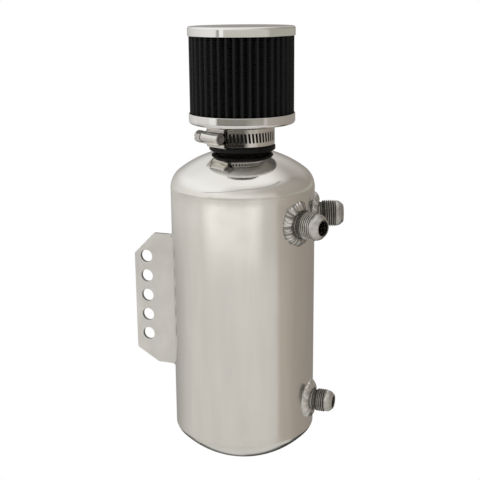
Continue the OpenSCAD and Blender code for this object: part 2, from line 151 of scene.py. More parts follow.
# %% Round the corners of a section
def rounded(corners, steps=6, closed=True, guard=0.12):
    """Points of a path whose corners (a, b, radius) are rounded by tangent arcs.

    A guard row just beyond each arc keeps the flats flat when the skin is smoothed.
    """
    out = []
    count = len(corners)
    for k, (x, y, r) in enumerate(corners):
        here = np.array([x, y], float)
        if r <= 0 or (not closed and k in (0, count - 1)):
            out.append(here)
            continue
        to_last = np.array(corners[k - 1][:2], float) - here
        to_next = np.array(corners[(k + 1) % count][:2], float) - here
        len_last, len_next = np.linalg.norm(to_last), np.linalg.norm(to_next)
        to_last, to_next = to_last / len_last, to_next / len_next
        half = math.acos(float(np.clip(to_last @ to_next, -1, 1))) / 2
        reach = min(r / math.tan(half), 0.49 * len_last, 0.49 * len_next)
        r = reach * math.tan(half)
        middle = here + (to_last + to_next) / np.linalg.norm(to_last + to_next) * r / math.sin(half)
        first, last = here + to_last * reach - middle, here + to_next * reach - middle
        sweep = math.atan2(first[0] * last[1] - first[1] * last[0], first @ last)
        beyond = reach * (1 + guard)
        if guard and beyond < 0.5 * len_last:
            out.append(here + to_last * beyond)
        for t in np.linspace(0, sweep, steps + 1):
            c, s = math.cos(t), math.sin(t)
            out.append(middle + np.array([c * first[0] - s * first[1], s * first[0] + c * first[1]]))
        if guard and beyond < 0.5 * len_next:
            out.append(here + to_next * beyond)
    return np.array(out)


def arc_points(cx, cy, r, start, end, steps):
    """Points on an arc about (cx, cy), angles in degrees."""
    t = np.radians(np.linspace(start, end, steps + 1))
    return np.stack([cx + r * np.cos(t), cy + r * np.sin(t)], axis=1)


def section_lengths(section):
    steps = np.linalg.norm(np.diff(section, axis=0, append=section[:1]), axis=1)
    return np.concatenate([[0], np.cumsum(steps)])


def circle(segments):
    return np.linspace(0, 2 * math.pi, segments, endpoint=False)


def spread(section, segments):
    """Angles around an axis, and both columns of a section at each of them."""
    around = np.broadcast_arrays(circle(segments)[None, :], section[:, :1], section[:, 1:])
    return [part.copy() for part in around]


def turn(name, section, segments=192, soiled=None):
    """Turns a closed section of (radius, height) points, in metres, about the can's axis."""
    angle, r, z = spread(section, segments)
    points = np.stack([AXIS_X + r * np.cos(angle), r * np.sin(angle), z], axis=-1)
    widest = section[:, 0].max()
    uv = (np.linspace(0, 2 * math.pi * widest, segments + 1), section_lengths(section))
    if soiled is not None:
        soiled = np.broadcast_to(soiled[:, None], points.shape[:2])
    return tidy_skin(join_rows(name, points, True, True, uv, soiled))


# %% [markdown]
# ## Node helpers
# Materials, the world and Geometry Nodes trees are all graphs of nodes. One class builds
# them: each call adds a node, fills its inputs and gives back the socket that comes out, so
# a graph reads like the sum that it works out.

# %% Build a graph, and open a group
class Graph:
    """A node tree under construction."""

    def __init__(self, tree):
        self.tree = tree

    def put(self, value, socket):
        """Links a socket to another, or sets it to a constant."""
        if isinstance(value, bpy.types.NodeSocket):
            self.tree.links.new(value, socket)
        elif socket.type == "RGBA":
            socket.default_value = (*value[:3], 1)
        else:
            socket.default_value = value

    def fill(self, sockets, values):
        for key, value in values.items():
            self.put(value, sockets[key])

    def add(self, kind, inputs=None, **settings):
        node = self.tree.nodes.new(kind)
        for key, value in settings.items():
            setattr(node, key, value)
        self.fill(node.inputs, inputs or {})
        return node

    def math(self, operation, *values):
        return self.add("ShaderNodeMath", dict(enumerate(values)), operation=operation).outputs[0]

    def plus(self, first, second):
        return self.math("ADD", first, second)

    def minus(self, first, second):
        return self.math("SUBTRACT", first, second)

    def times(self, first, second):
        return self.math("MULTIPLY", first, second)

    def times_plus(self, first, second, third):
        return self.math("MULTIPLY_ADD", first, second, third)

    def vector(self, operation, inputs, output="Vector"):
        return self.add("ShaderNodeVectorMath", inputs, operation=operation).outputs[output]

    def noise(self, where, scale, detail=2.0):
        inputs = {"Vector": where, "Scale": scale, "Detail": detail}
        return self.add("ShaderNodeTexNoise", inputs).outputs["Fac"]

    def ramp(self, value, low, high, to_low=0.0, to_high=1.0, kind="LINEAR"):
        """Carries a value from one range to another, and holds it at the ends."""
        inputs = {"Value": value, "From Min": low, "From Max": high, "To Min": to_low, "To Max": to_high}
        return self.add("ShaderNodeMapRange", inputs, interpolation_type=kind).outputs[0]

    def mix(self, share, first, second):
        return self.add("ShaderNodeMix", {0: share, 6: first, 7: second}, data_type="RGBA").outputs[2]

    def bump(self, height):
        return self.add("ShaderNodeBump", {"Height": height, "Distance": 1.0}).outputs[0]

    def xyz(self, x=0.0, y=0.0, z=0.0):
        return self.add("ShaderNodeCombineXYZ", {0: x, 1: y, 2: z}).outputs[0]

    def parts(self, vector):
        return self.add("ShaderNodeSeparateXYZ", {0: vector}).outputs

    def use(self, group, **inputs):
        return self.add("ShaderNodeGroup", inputs, node_tree=group.tree).outputs

    def step(self, kind, inputs=None, **settings):
        return self.add("GeometryNode" + kind, inputs, **settings).outputs[0]

    def function(self, kind, inputs, **settings):
        return self.add("FunctionNode" + kind, inputs, **settings).outputs[0]

    def give(self, **results):
        self.fill(self.result.inputs, results)


SOCKET_OF = {float: "Float", int: "Int", tuple: "Vector"}


def open_group(name, kind, inputs, outputs, socket="Float"):
    """A group whose inputs are given by a default, or by a socket's name where it has none."""
    tree = bpy.data.node_groups.new(name, kind + "NodeTree")
    for label, value in inputs.items():
        bare = isinstance(value, str)
        kind_of = value if bare else SOCKET_OF[type(value)]
        made = tree.interface.new_socket(label, in_out="INPUT", socket_type="NodeSocket" + kind_of)
        if not bare:
            made.default_value = value
    for label in outputs:
        tree.interface.new_socket(label, in_out="OUTPUT", socket_type="NodeSocket" + socket)
    graph = Graph(tree)
    graph.given = graph.add("NodeGroupInput").outputs
    graph.result = graph.add("NodeGroupOutput")
    print("group:", name)
    return graph


# %% [markdown]
# ## Effects that several finishes share
# Hand polishing leaves soft clouds and long fine scratches, shade is painted into corners and
# hollows, and a dressed weld leaves a rubbed zone. Each is a node group, so every metal can
# place it with its own scale and strength.

# %% Hand polish: soft clouds of duller and brighter metal
polish = open_group(
    "hand polish", "Shader", {"Vector": "Vector", "Scale": 30.0, "Detail": 3.0}, ("Cloud", "Height"))
given = polish.given
WIDE_SCALE = 0.27
soft = polish.noise(given["Vector"], given["Scale"], given["Detail"])
wide = polish.noise(given["Vector"], polish.times(given["Scale"], WIDE_SCALE), 1.0)
polish.give(Cloud=polish.ramp(polish.plus(soft, wide), 0.7, 1.3), Height=wide)

# %% Fine scratches: thin lines where a stretched noise crosses its middle
scratches = open_group("fine scratches", "Shader", {
    "Vector": "Vector", "Stretch": (1.0, 1.0, 12.0), "Scale": 60.0, "Width": 0.02}, ("Mask", "Grain"))
given = scratches.given
drawn = scratches.vector("MULTIPLY", {0: given["Vector"], 1: given["Stretch"]})
lines = scratches.noise(drawn, given["Scale"])
off_middle = scratches.math("ABSOLUTE", scratches.minus(lines, 0.5))
thin = scratches.ramp(off_middle, 0.0, given["Width"], 1.0, 0.0)
some = scratches.ramp(scratches.noise(given["Vector"], scratches.times(given["Scale"], 0.5)), 0.5, 0.62)
scratches.give(Mask=scratches.times(thin, some), Grain=lines)

# %% Painted shade: an attribute of the piece darkens it where shade falls, broken up by noise
broken_shade = open_group("painted shade", "Shader", {
    "Vector": "Vector", "Soiled": 0.0, "Scale": 900.0, "Broken": 0.4}, ("Amount",))
given = broken_shade.given
specks = broken_shade.noise(given["Vector"], given["Scale"], 3.0)
kept = broken_shade.minus(1.0, broken_shade.times(specks, given["Broken"]))
broken_shade.give(Amount=broken_shade.times(given["Soiled"], kept))

# %% Dressed seam: a zone on both sides of a height, where a weld was ground and polished over
dressed = open_group(
    "dressed seam", "Shader", {"Vector": "Vector", "Height": 0.0, "Reach": 7 * MM}, ("Mask",))
given = dressed.given
away = dressed.math("ABSOLUTE", dressed.minus(dressed.parts(given["Vector"])[2], given["Height"]))
away = dressed.times(away, dressed.plus(dressed.noise(given["Vector"], 45.0), 0.5))
dressed.give(Mask=dressed.ramp(away, given["Reach"], 0.0, kind="SMOOTHSTEP"))

# %% [markdown]
# ## Finishes
# Every finish is one Principled shader. Metals differ in colour, roughness and the way they
# were worked, so one function makes them all from those facts. It reads Object coordinates,
# moved to the can's axis.

# %% A worked metal
STREAK_PULL, STREAK_SCALE, STREAK_SHADE = (1.0, 1.0, 0.13), 70.0, 0.8
SHADE_DULLS = 0.3
SEAM_DULLS, SEAM_WAVE, RUB_SCALE = 0.09, 0.13 * MM, 55.0


def start_material(name):
    """A new material's graph, its shader's inputs, and the places to paint by."""
    material = bpy.data.materials.new(name)
    material.use_nodes = True
    graph = Graph(material.node_tree)
    where = graph.add("ShaderNodeTexCoord").outputs
    centred = graph.add("ShaderNodeMapping", {"Vector": where["Object"], "Location": (-AXIS_X, 0, 0)})
    return material, graph, graph.tree.nodes["Principled BSDF"].inputs, centred.outputs[0], where["UV"]


def worked_metal(name, colour, shade, roughness, spread, stretch=(1, 1, 1), grain=0.05, wave=0.0,
                 cloud_scale=30, scratch_scale=60, by_uv=False, painted_shade_colour=None, seams=(), streaks=0.0):
    """Metal with clouds of polish and a drawn grain. Wave and grain are bump heights in mm."""
    material, graph, shader, centred, lengths = start_material(name)
    cloud = graph.use(polish, Vector=centred, Scale=cloud_scale)
    lines = graph.use(scratches, Vector=lengths if by_uv else centred, Stretch=stretch, Scale=scratch_scale)
    shown = graph.mix(cloud["Cloud"], shade, colour)
    rough = graph.ramp(cloud["Cloud"], 0.0, 1.0, roughness + spread, roughness)
    rough = graph.times_plus(lines["Mask"], spread, rough)
    if streaks:
        pulled = graph.add("ShaderNodeMapping", {"Vector": centred, "Scale": STREAK_PULL}).outputs[0]
        streak = graph.ramp(graph.noise(pulled, STREAK_SCALE, 3.0), 0.35, 0.65, 0.0, streaks)
        shown = graph.mix(streak, shown, tuple(STREAK_SHADE * c for c in colour))
    # Painted shade: where the soiled attribute marks a piece, its colour goes to its painted shade colour,
    # and it dulls.
    if painted_shade_colour:
        mark = graph.add("ShaderNodeAttribute", attribute_name="soiled").outputs["Fac"]
        amount = graph.use(broken_shade, Vector=centred, Soiled=mark)["Amount"]
        shown = graph.mix(amount, shown, painted_shade_colour)
        rough = graph.times_plus(amount, SHADE_DULLS, rough)
    height = graph.times(cloud["Height"], wave * MM)
    for seam in seams:
        zone = graph.use(dressed, Vector=centred, Height=seam)["Mask"]
        rough = graph.times_plus(zone, SEAM_DULLS, rough)
        rubbed = graph.times(zone, graph.noise(centred, RUB_SCALE, 1.0))
        height = graph.times_plus(rubbed, SEAM_WAVE, height)
    height = graph.times_plus(lines["Grain"], grain * MM, height)
    graph.fill(shader, {
        "Metallic": 1.0, "Base Color": shown, "Roughness": rough, "Normal": graph.bump(height)})
    return material


# A metal's painted_shade_colour is the darker colour of its painted shade.
polished_can = worked_metal(
    "polished_can", (0.86, 0.85, 0.81), (0.81, 0.795, 0.75), 0.09, 0.12, stretch=(1, 1, 16), grain=0.002,
    wave=0.25, cloud_scale=22, seams=(SEAM_TOP, SEAM_LOW), streaks=0.3)
polished_dome = worked_metal(
    "polished_dome", (0.88, 0.87, 0.835), (0.83, 0.82, 0.785), 0.045, 0.07, stretch=(1, 1, 6), grain=0.0015,
    wave=0.4, cloud_scale=20, seams=(SEAM_TOP,))
satin_fin = worked_metal(
    "satin_fin", (0.88, 0.87, 0.84), (0.72, 0.71, 0.675), 0.34, 0.1, stretch=(1, 1, 10), grain=0.01,
    cloud_scale=38, painted_shade_colour=(0.20, 0.19, 0.17), streaks=0.5)
weld_metal = worked_metal(
    "weld_metal", (0.84, 0.83, 0.80), (0.66, 0.65, 0.615), 0.2, 0.16, grain=0.03, cloud_scale=260,
    scratch_scale=500, painted_shade_colour=(0.14, 0.13, 0.115))
# A near-black weld metal: painted shade for the dark gap between the rubber collar and the dome.
painted_shade_weld = worked_metal(
    "painted_shade_weld", (0.15, 0.14, 0.12), (0.05, 0.045, 0.04), 0.35, 0.2, grain=0.03, cloud_scale=260,
    scratch_scale=500)
turned_metal = worked_metal(
    "turned_metal", (0.84, 0.825, 0.79), (0.38, 0.365, 0.33), 0.22, 0.1, stretch=(2, 60, 1), grain=0.012,
    cloud_scale=170, by_uv=True, painted_shade_colour=(0.04, 0.036, 0.03))
chrome_cap = worked_metal(
    "chrome_cap", (0.89, 0.89, 0.885), (0.84, 0.84, 0.825), 0.05, 0.05, stretch=(1, 1, 4), grain=0.001,
    cloud_scale=14, painted_shade_colour=(0.56, 0.565, 0.58))
band_steel = worked_metal(
    "band_steel", (0.82, 0.805, 0.77), (0.70, 0.685, 0.645), 0.025, 0.03, stretch=(1, 1, 30), grain=0.004,
    cloud_scale=80, painted_shade_colour=(0.035, 0.03, 0.025))
screw_steel = worked_metal(
    "screw_steel", (0.84, 0.825, 0.79), (0.68, 0.66, 0.61), 0.16, 0.1, grain=0.01, cloud_scale=150,
    painted_shade_colour=(0.04, 0.035, 0.03))
print("metals:", len(bpy.data.materials))

# %% [markdown]
# Moulded rubber is almost black, with a soft skin and a trace of pale bloom that settles in
# patches. The sealant in the cap is the same idea with a different sheen.

# %% A moulded rubber
SKIN_SCALE, SKIN_HEIGHT = 2500.0, 0.03 * MM
BLOOM_DULLS, RUBBER_SHEEN = 0.12, 0.13


def moulded(name, colour, bloom, roughness, scale):
    material, graph, shader, centred, _ = start_material(name)
    cloud = graph.use(polish, Vector=centred, Scale=scale, Detail=5.0)["Cloud"]
    graph.fill(shader, {
        "Base Color": graph.mix(cloud, bloom, colour),
        "Roughness": graph.ramp(cloud, 0.0, 1.0, roughness + BLOOM_DULLS, roughness),
        "Normal": graph.bump(graph.times(graph.noise(centred, SKIN_SCALE), SKIN_HEIGHT)),
        "Specular IOR Level": RUBBER_SHEEN})
    return material


black_rubber = moulded("black_rubber", (0.004, 0.004, 0.004), (0.011, 0.011, 0.0105), 0.45, 60)
grey_sealant = moulded("grey_sealant", (0.05, 0.05, 0.052), (0.08, 0.08, 0.08), 0.5, 120)

# %% Put a finished mesh into the frame
def place(name, mesh, material, slot, *nodes, body="can"):
    """Makes the mesh a piece that rides on a body and stands for CAD nodes."""
    mesh.name = name
    mesh.materials.clear()
    mesh.materials.append(material)
    piece = bpy.data.objects.new(name, mesh)
    bpy.context.scene.collection.objects.link(piece)
    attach(piece, body)
    if nodes:
        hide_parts(*nodes)
    mesh.calc_loop_triangles()
    print(f"{name}: {len(mesh.loop_triangles)} triangles")
    return piece


# %% [markdown]
# ## Domes
# Each end of the can is a pressed dome: a shallow crown that turns into the tube by a tight
# knuckle. The section is the outer arc pair, and the inner pair one wall further in, so the
# sheet has its real thickness at the neck's hole.

# %% Turn both domes
def dome_arc(radius, crown, knuckle, inner_radius, steps):
    """Knuckle and crown of a dome over a tube, out to the radius inner_radius from the axis."""
    lean = math.degrees(math.asin((radius - knuckle) / (crown - knuckle)))
    centre = -math.sqrt((crown - knuckle) ** 2 - (radius - knuckle) ** 2)
    end = math.degrees(math.acos(inner_radius / crown))
    bend = arc_points(radius - knuckle, 0, knuckle, 0, 90 - lean, steps // 3)
    top = arc_points(0, centre, crown, 90 - lean, end, steps)
    return np.concatenate([bend, top[1:]])


TOP_CROWN, TOP_KNUCKLE = 87 * MM, 18.5 * MM
BOTTOM_CROWN, BOTTOM_KNUCKLE = 77.5 * MM, 8 * MM
NECK_R = 22.5 * MM
OUTER_STEPS, INNER_STEPS = 60, 40


def dome_section(crown, knuckle, hole):
    outside = dome_arc(CAN_R, crown, knuckle, hole, OUTER_STEPS)
    inside = dome_arc(CAN_R - WALL, crown - WALL, knuckle - WALL, hole, INNER_STEPS)
    return np.concatenate([outside, inside[::-1]])


top_section = dome_section(TOP_CROWN, TOP_KNUCKLE, NECK_R) + [0, SEAM_TOP]
place("top_dome_dressed", turn("top_dome", top_section), polished_dome, "dome", "top_dome")
bottom_section = dome_section(BOTTOM_CROWN, BOTTOM_KNUCKLE, 0.0) * [1, -1] + [0, SEAM_LOW]
place("bottom_dome_dressed", turn("bottom_dome", bottom_section), polished_can, "dome", "bottom_dome")

# %% [markdown]
# ## Tube
# The tube is rolled sheet. Its wall is a closed ring, and the three holes behind the
# fittings are cut by plain cylinders, because the real ones are drilled too.

# %% Turn the tube and drill its ports
INLET_Z = SEAM_TOP - 23.5 * MM
DRAIN_Z = SEAM_LOW + 24.5 * MM
SPREAD = math.radians(20.5)
INLET = {"thread": 11.1 * MM, "length": 11 * MM, "bore": 6.3 * MM, "pitch": 1.814 * MM}
DRAIN = {"thread": 9.5 * MM, "length": 8.5 * MM, "bore": 5.1 * MM, "pitch": 1.588 * MM}
BODY_UNDER, GROOVE_UNDER, LAND_UNDER = 0.4 * MM, 1.6 * MM, 0.6 * MM
Port = namedtuple("Port", "bearing height size fitting weld")
PORTS = [
    Port(-SPREAD, INLET_Z, INLET, "inlet_fitting_front", "inlet_weld_front"),
    Port(SPREAD, INLET_Z, INLET, "inlet_fitting_rear", "inlet_weld_rear"),
    Port(0.0, DRAIN_Z, DRAIN, "drain_fitting", "drain_weld")]


def port_frame(port):
    """Directions out, sideways and up at a port, and the point on the can's axis behind it."""
    out = np.array([math.cos(port.bearing), math.sin(port.bearing), 0])
    side = np.array([-math.sin(port.bearing), math.cos(port.bearing), 0])
    return out, side, np.array([0, 0, 1.0]), np.array([AXIS_X, 0, port.height])


def port_point(port, along, radius, angle):
    """Points at a distance along a port's axis, and a radius and angle around it."""
    out, side, up, start = port_frame(port)
    ring = side * np.cos(angle)[..., None] + up * np.sin(angle)[..., None]
    return start + out * along[..., None] + ring * radius[..., None]


def cut_with(mesh, cutter_mesh, name):
    """Takes one mesh out of another, and returns the plain result."""
    piece = bpy.data.objects.new(name, mesh)
    cutter = bpy.data.objects.new("cutter", cutter_mesh)
    bpy.context.scene.collection.objects.link(cutter)
    cut = piece.modifiers.new("cut", "BOOLEAN")
    cut.operation, cut.object, cut.solver = "DIFFERENCE", cutter, "EXACT"
    result = plain_mesh(piece)
    bpy.data.objects.remove(cutter)
    return result


def drill_bit(port, radius):
    """A plain cylinder along a port's axis, from inside the can to outside it."""
    near, far = 30 * MM, 75 * MM
    section = np.array([[near, 0], [near, radius], [far, radius], [far, 0]])
    angle, along, ring = spread(section, 64)
    return tidy_skin(join_rows("drill_bit", port_point(port, along, ring, angle)))


TUBE_ROWS = 60
heights = np.linspace(SEAM_LOW, SEAM_TOP, TUBE_ROWS)
tube_section = np.concatenate([
    np.stack([np.full(TUBE_ROWS, CAN_R), heights], axis=1),
    np.stack([np.full(2, CAN_R - WALL), heights[[-1, 0]]], axis=1)])
tube_mesh = turn("can_tube", tube_section)
for port in PORTS:
    tube_mesh = cut_with(tube_mesh, drill_bit(port, port.size["thread"] - BODY_UNDER), "can_tube")
place("can_tube_dressed", tube_mesh, polished_can, "can", "can_tube")

# %% [markdown]
# ## Girth seams
# The seams are welded in a bevelled groove and then dressed almost flush, which leaves a
# faint raised ring: a shallow arc, 0.025 mm proud.

# %% Turn both seams
SEAM_HALF = 1.5 * MM
SEAM_PROUD = 0.025 * MM
for label, height in (("top_seam", SEAM_TOP), ("bottom_seam", SEAM_LOW)):
    across = np.linspace(-1, 1, 13)
    face = np.stack([CAN_R + SEAM_PROUD * np.cos(across * math.pi / 2) ** 2,
                     height + SEAM_HALF * across], axis=1)
    root = np.array([[CAN_R - SEAM_HALF, height]])
    place(label + "_dressed", turn(label, np.concatenate([face, root])),
          polished_can, "weld", label + "_weld")

# %% [markdown]
# ## Mounting fin
# The fin is a plate with five bolt holes and cut corners. A flat curve with the holes as
# inner rings fills itself, and its own bevel breaks the edges as a deburring tool does.

# %% Cut the fin
fin_low, fin_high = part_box("mounting_fin")
FIN_T = fin_high.y - fin_low.y
FIN_EDGE = 0.3 * MM
FIN_ROOT = AXIS_X - CAN_R + 1.0 * MM
FIN_OUT = fin_low.x
LOW_CUT_X, LOW_CUT_Z, HIGH_CUT, FIN_CORNER_R = 20.5 * MM, 12 * MM, 19.5 * MM, 1.2 * MM
fin_corners = [
    (FIN_ROOT, fin_low.z), (FIN_OUT + LOW_CUT_X, fin_low.z), (FIN_OUT, fin_low.z + LOW_CUT_Z),
    (FIN_OUT, fin_high.z - HIGH_CUT), (FIN_OUT + HIGH_CUT, fin_high.z), (FIN_ROOT, fin_high.z)]
HOLE_R, HOLE_PITCH, HOLES = 5.5 * MM, 18 * MM, 5


def add_ring(curve, points):
    spline = curve.splines.new("POLY")
    spline.points.add(len(points) - 1)
    for point, (x, z) in zip(spline.points, points):
        point.co = (x, z, 0, 1)
    spline.use_cyclic_u = True


def cut_plate(name, outline, holes, thickness, edge):
    """A plate in the XZ plane, centred on Y = 0, with holes and broken edges."""
    curve = bpy.data.curves.new(name, "CURVE")
    curve.dimensions, curve.fill_mode = "2D", "BOTH"
    curve.extrude, curve.bevel_depth, curve.bevel_resolution = thickness / 2 - edge, edge, 2
    curve.offset = -edge
    add_ring(curve, outline)
    for x, z, r in holes:
        add_ring(curve, arc_points(x, z, r, 0, 360, 64)[:-1])
    mesh = plain_mesh(bpy.data.objects.new(name, curve))
    mesh.transform(Matrix.Rotation(math.pi / 2, 4, "X"))
    # Painted shade on the plate's edges and the walls of its holes, between its two faces.
    depth = np.array([abs(vertex.co.y) for vertex in mesh.vertices])
    soiled = np.clip((thickness / 2 - 0.03 * MM - depth) / (0.1 * MM), 0, 1)
    mark_points(mesh, "soiled", "FLOAT", soiled)
    return tidy_skin(mesh, CUT_SHARP)


fin_outline = rounded([(x, z, FIN_CORNER_R) for x, z in fin_corners])
fin_holes = [(0.0, (k - (HOLES - 1) / 2) * HOLE_PITCH, HOLE_R) for k in range(HOLES)]
fin_mesh = cut_plate("fin", fin_outline, fin_holes, FIN_T, FIN_EDGE)
place("mounting_fin_dressed", fin_mesh, satin_fin, "fin", "mounting_fin")

# %% [markdown]
# ## Pressed caps and rubber collar
# Both caps of the filter are pressed sheet with a rolled corner. The collar is one rubber
# moulding: a lip at its foot, a plain sleeve under the clamp, and a flange in the base cap.

# %% Turn the caps
cap_low, cap_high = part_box("filter_top_cap")
base_low, base_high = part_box("filter_base_cap")
CAP_R = (cap_high.y - cap_low.y) / 2
CAP_SHEET = 0.8 * MM
COLLAR_R = 26 * MM


def cap_section(hole, height, corner):
    """A pressed cap's sheet, open upwards, from the hole's radius to the rim."""
    inner = max(corner - CAP_SHEET, 0.3 * MM)
    return rounded([
        (hole, 0, 0), (CAP_R, 0, corner), (CAP_R, height, 0.35 * MM), (CAP_R - CAP_SHEET, height, 0.35 * MM),
        (CAP_R - CAP_SHEET, CAP_SHEET, inner), (hole, CAP_SHEET, 0)], steps=8)


top_cap = cap_section(0.0, cap_high.z - cap_low.z, 1.8 * MM) * [1, -1] + [0, cap_high.z]
place("filter_top_cap_dressed", turn("top_cap", top_cap, 256), chrome_cap, "cap", "filter_top_cap")
base_cap = cap_section(COLLAR_R, base_high.z - base_low.z, 2.5 * MM) + [0, base_low.z]
# Painted shade on the flat underside of the base cap, which faces the dome.
underside = (base_cap[:, 1] < base_low.z + 0.05 * MM) & (base_cap[:, 0] < CAP_R - 2.6 * MM)
base_mesh = turn("base_cap", base_cap, 256, soiled=underside * 0.9)
place("filter_base_cap_dressed", base_mesh, chrome_cap, "cap", "filter_base_cap")

# %% Turn the rubber collar
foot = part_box("rubber_collar")[0].z
flange_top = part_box("rubber_collar")[1].z
LIP_R, LIP_H = 27.3 * MM, 4 * MM
FLANGE_R = CAP_R - CAP_SHEET - 0.05 * MM
collar_section = rounded([
    (NECK_R + 1.9 * MM, foot, 0.4 * MM), (LIP_R, foot, 1.9 * MM), (LIP_R, foot + LIP_H, 1.9 * MM),
    (COLLAR_R, foot + LIP_H, 0.6 * MM), (COLLAR_R, base_low.z + CAP_SHEET + 0.05 * MM, 0),
    (FLANGE_R, base_low.z + CAP_SHEET + 0.05 * MM, 2 * MM), (FLANGE_R, flange_top, 0.3 * MM),
    (NECK_R, flange_top, 0.3 * MM), (NECK_R, foot + 1.9 * MM, 0.3 * MM)], steps=8)
place("rubber_collar_dressed", turn("rubber_collar", collar_section), black_rubber, "rubber", "rubber_collar")

# %% [markdown]
# ## Flare fittings
# Each fitting is turned from bar: a collar that is welded to the can, a relief groove, the
# thread, a plain land and the 37 degree flare cone. The thread is cut into the skin itself:
# the radius of each point depends on how far it has gone along and around, which is what a
# helix is. Chamfers cut the first and last turn, as the lathe does.

# %% Turn a threaded fitting
THREAD_DEPTH = 1.1 * MM
FLARE = math.radians(37)


def thread_radius(along, angle, size, first, last):
    """Radius of a 60 degree thread with flattened crests, run out by a chamfer at each end."""
    phase = (along / size["pitch"] - angle / (2 * math.pi)) % 1.0
    ridge = np.clip((1 - np.abs(2 * phase - 1) - 0.1) / 0.74, 0, 1)
    radius = size["thread"] - THREAD_DEPTH * (1 - ridge)
    land = size["thread"] - 0.75 * MM
    runout = land + np.minimum(along - first, last - along) * 0.9
    return np.maximum(np.minimum(radius, runout), size["thread"] - THREAD_DEPTH)


FITTING_SEGMENTS = 128


def fitting_mesh(name, port, shade_film):
    size = port.size
    crest, bore = size["thread"], size["bore"]
    body, groove, land = crest - BODY_UNDER, crest - GROOVE_UNDER, crest - LAND_UNDER
    inside = math.sqrt((CAN_R - WALL) ** 2 - body ** 2) - 0.5 * MM
    collar = CAN_R + 4 * MM
    first = collar + 2.3 * MM
    last = first + size["length"]
    cone = last + 2.2 * MM
    tip = bore + 0.8 * MM
    nose = cone + (land - tip) / math.tan(FLARE)
    shoulder, full = cone + (nose - cone) * 0.4, land - (land - tip) * 0.4 + 0.45 * MM
    behind = rounded([
        (inside, bore, 0), (inside, body, 0.3 * MM), (collar, body, 0.55 * MM),
        (collar + 0.3 * MM, groove, 0.45 * MM), (first - 0.3 * MM, groove, 0.45 * MM),
        (first, crest - THREAD_DEPTH, 0)], closed=False)[:-1]
    turns = np.arange(first, last, size["pitch"] / 16)
    ahead = rounded([
        (last + 0.05 * MM, land, 0), (cone - 0.2 * MM, land, 2.2 * MM), (shoulder, full, 3 * MM),
        (nose, tip + 0.1 * MM, 0.9 * MM), (nose, bore, 0.2 * MM), (inside + 4 * MM, bore, 0)], closed=False)
    path = np.concatenate([behind, np.stack([turns, np.full(len(turns), crest)], axis=1), ahead])
    angle, along, radius = spread(path, FITTING_SEGMENTS)
    cut = slice(len(behind), len(behind) + len(turns))
    radius[cut] = thread_radius(along[cut], angle[cut], size, first, last)
    uv = (np.linspace(0, 2 * math.pi * crest, FITTING_SEGMENTS + 1), section_lengths(path))
    points = port_point(port, along, radius, angle)
    # Painted shade: dark in the thread's grooves and in the relief groove by the collar, and an even shade
    # over each fitting.
    sunk = np.clip((crest - 0.12 * MM - radius) / (THREAD_DEPTH * 0.5), 0, 1)
    even_shade = np.where(along < last, *shade_film)
    outside = radius > bore
    soiled = np.where((along > collar) & (along < last), np.maximum(sunk, even_shade), even_shade * outside)
    by_groove = np.clip(1.4 - np.abs(along - collar - 2 * MM) / (2.6 * MM), 0, 0.92)
    soiled = np.maximum(soiled, by_groove * outside)
    return tidy_skin(join_rows(name, points, True, True, uv, soiled), math.radians(55))


# Each fitting's even painted shade: up to the thread's end, and beyond it on the land and cone. The rear
# fitting, which faces the darker side of the room, gets the most.
SHADE_FILM = ((0.0, 0.28), (0.45, 0.42), (0.3, 0.15))
for port, shade_film in zip(PORTS, SHADE_FILM):
    name = port.fitting
    place(name + "_dressed", fitting_mesh(name, port, shade_film), turned_metal, "fitting", name)

# %% [markdown]
# ## Weld beads
# A hand-laid bead is a row of puddles, each frozen over the one before it. Geometry Nodes
# suit that: a tree walks along a path, lays one flat puddle at each step, tips it back over
# the last one, and varies its size from a fixed seed. The path is the saddle where a round
# fitting meets a round can, so it is worked out in code, with the direction that the bead
# faces kept as an attribute.

# %% Open, close and run a tree
def open_tree(name, inputs):
    return open_group(name, "Geometry", {"Geometry": "Geometry", **inputs}, ("Geometry",), "Geometry")


def close_tree(graph, geometry):
    """Ends a tree as the export needs it: real geometry, smooth, with its material set."""
    real = graph.step("RealizeInstances", {0: geometry})
    smooth = graph.step("SetShadeSmooth", {0: real})
    graph.give(Geometry=graph.step("SetMaterial", {"Geometry": smooth, "Material": graph.given["Material"]}))


def grow(name, graph, start, values):
    """Runs a tree once on a start mesh, and returns the plain mesh that it makes."""
    host = bpy.data.objects.new(name, start)
    modifier = host.modifiers.new("tree", "NODES")
    modifier.node_group = graph.tree
    for item in graph.tree.interface.items_tree:
        if item.in_out == "INPUT" and item.name in values:
            modifier[item.identifier] = values[item.name]
    return plain_mesh(host)


# %% Tree: puddles along a path
beads = open_tree("laid puddles", {
    "Puddles": 26, "Length": 5 * MM, "Width": 8 * MM, "Height": 3 * MM, "Tip back": 0.3, "Variation": 0.08,
    "Wander": 0.2 * MM, "Crease shade": 0.8, "Seed": 1, "Material": "Material"})
given = beads.given
walk = beads.step("MeshToCurve", {0: given["Geometry"]})
steps = beads.step("ResampleCurve", {"Curve": walk, "Count": given["Puddles"]})
ball = beads.step("MeshUVSphere", {"Segments": 24, "Rings": 12, "Radius": 0.5})
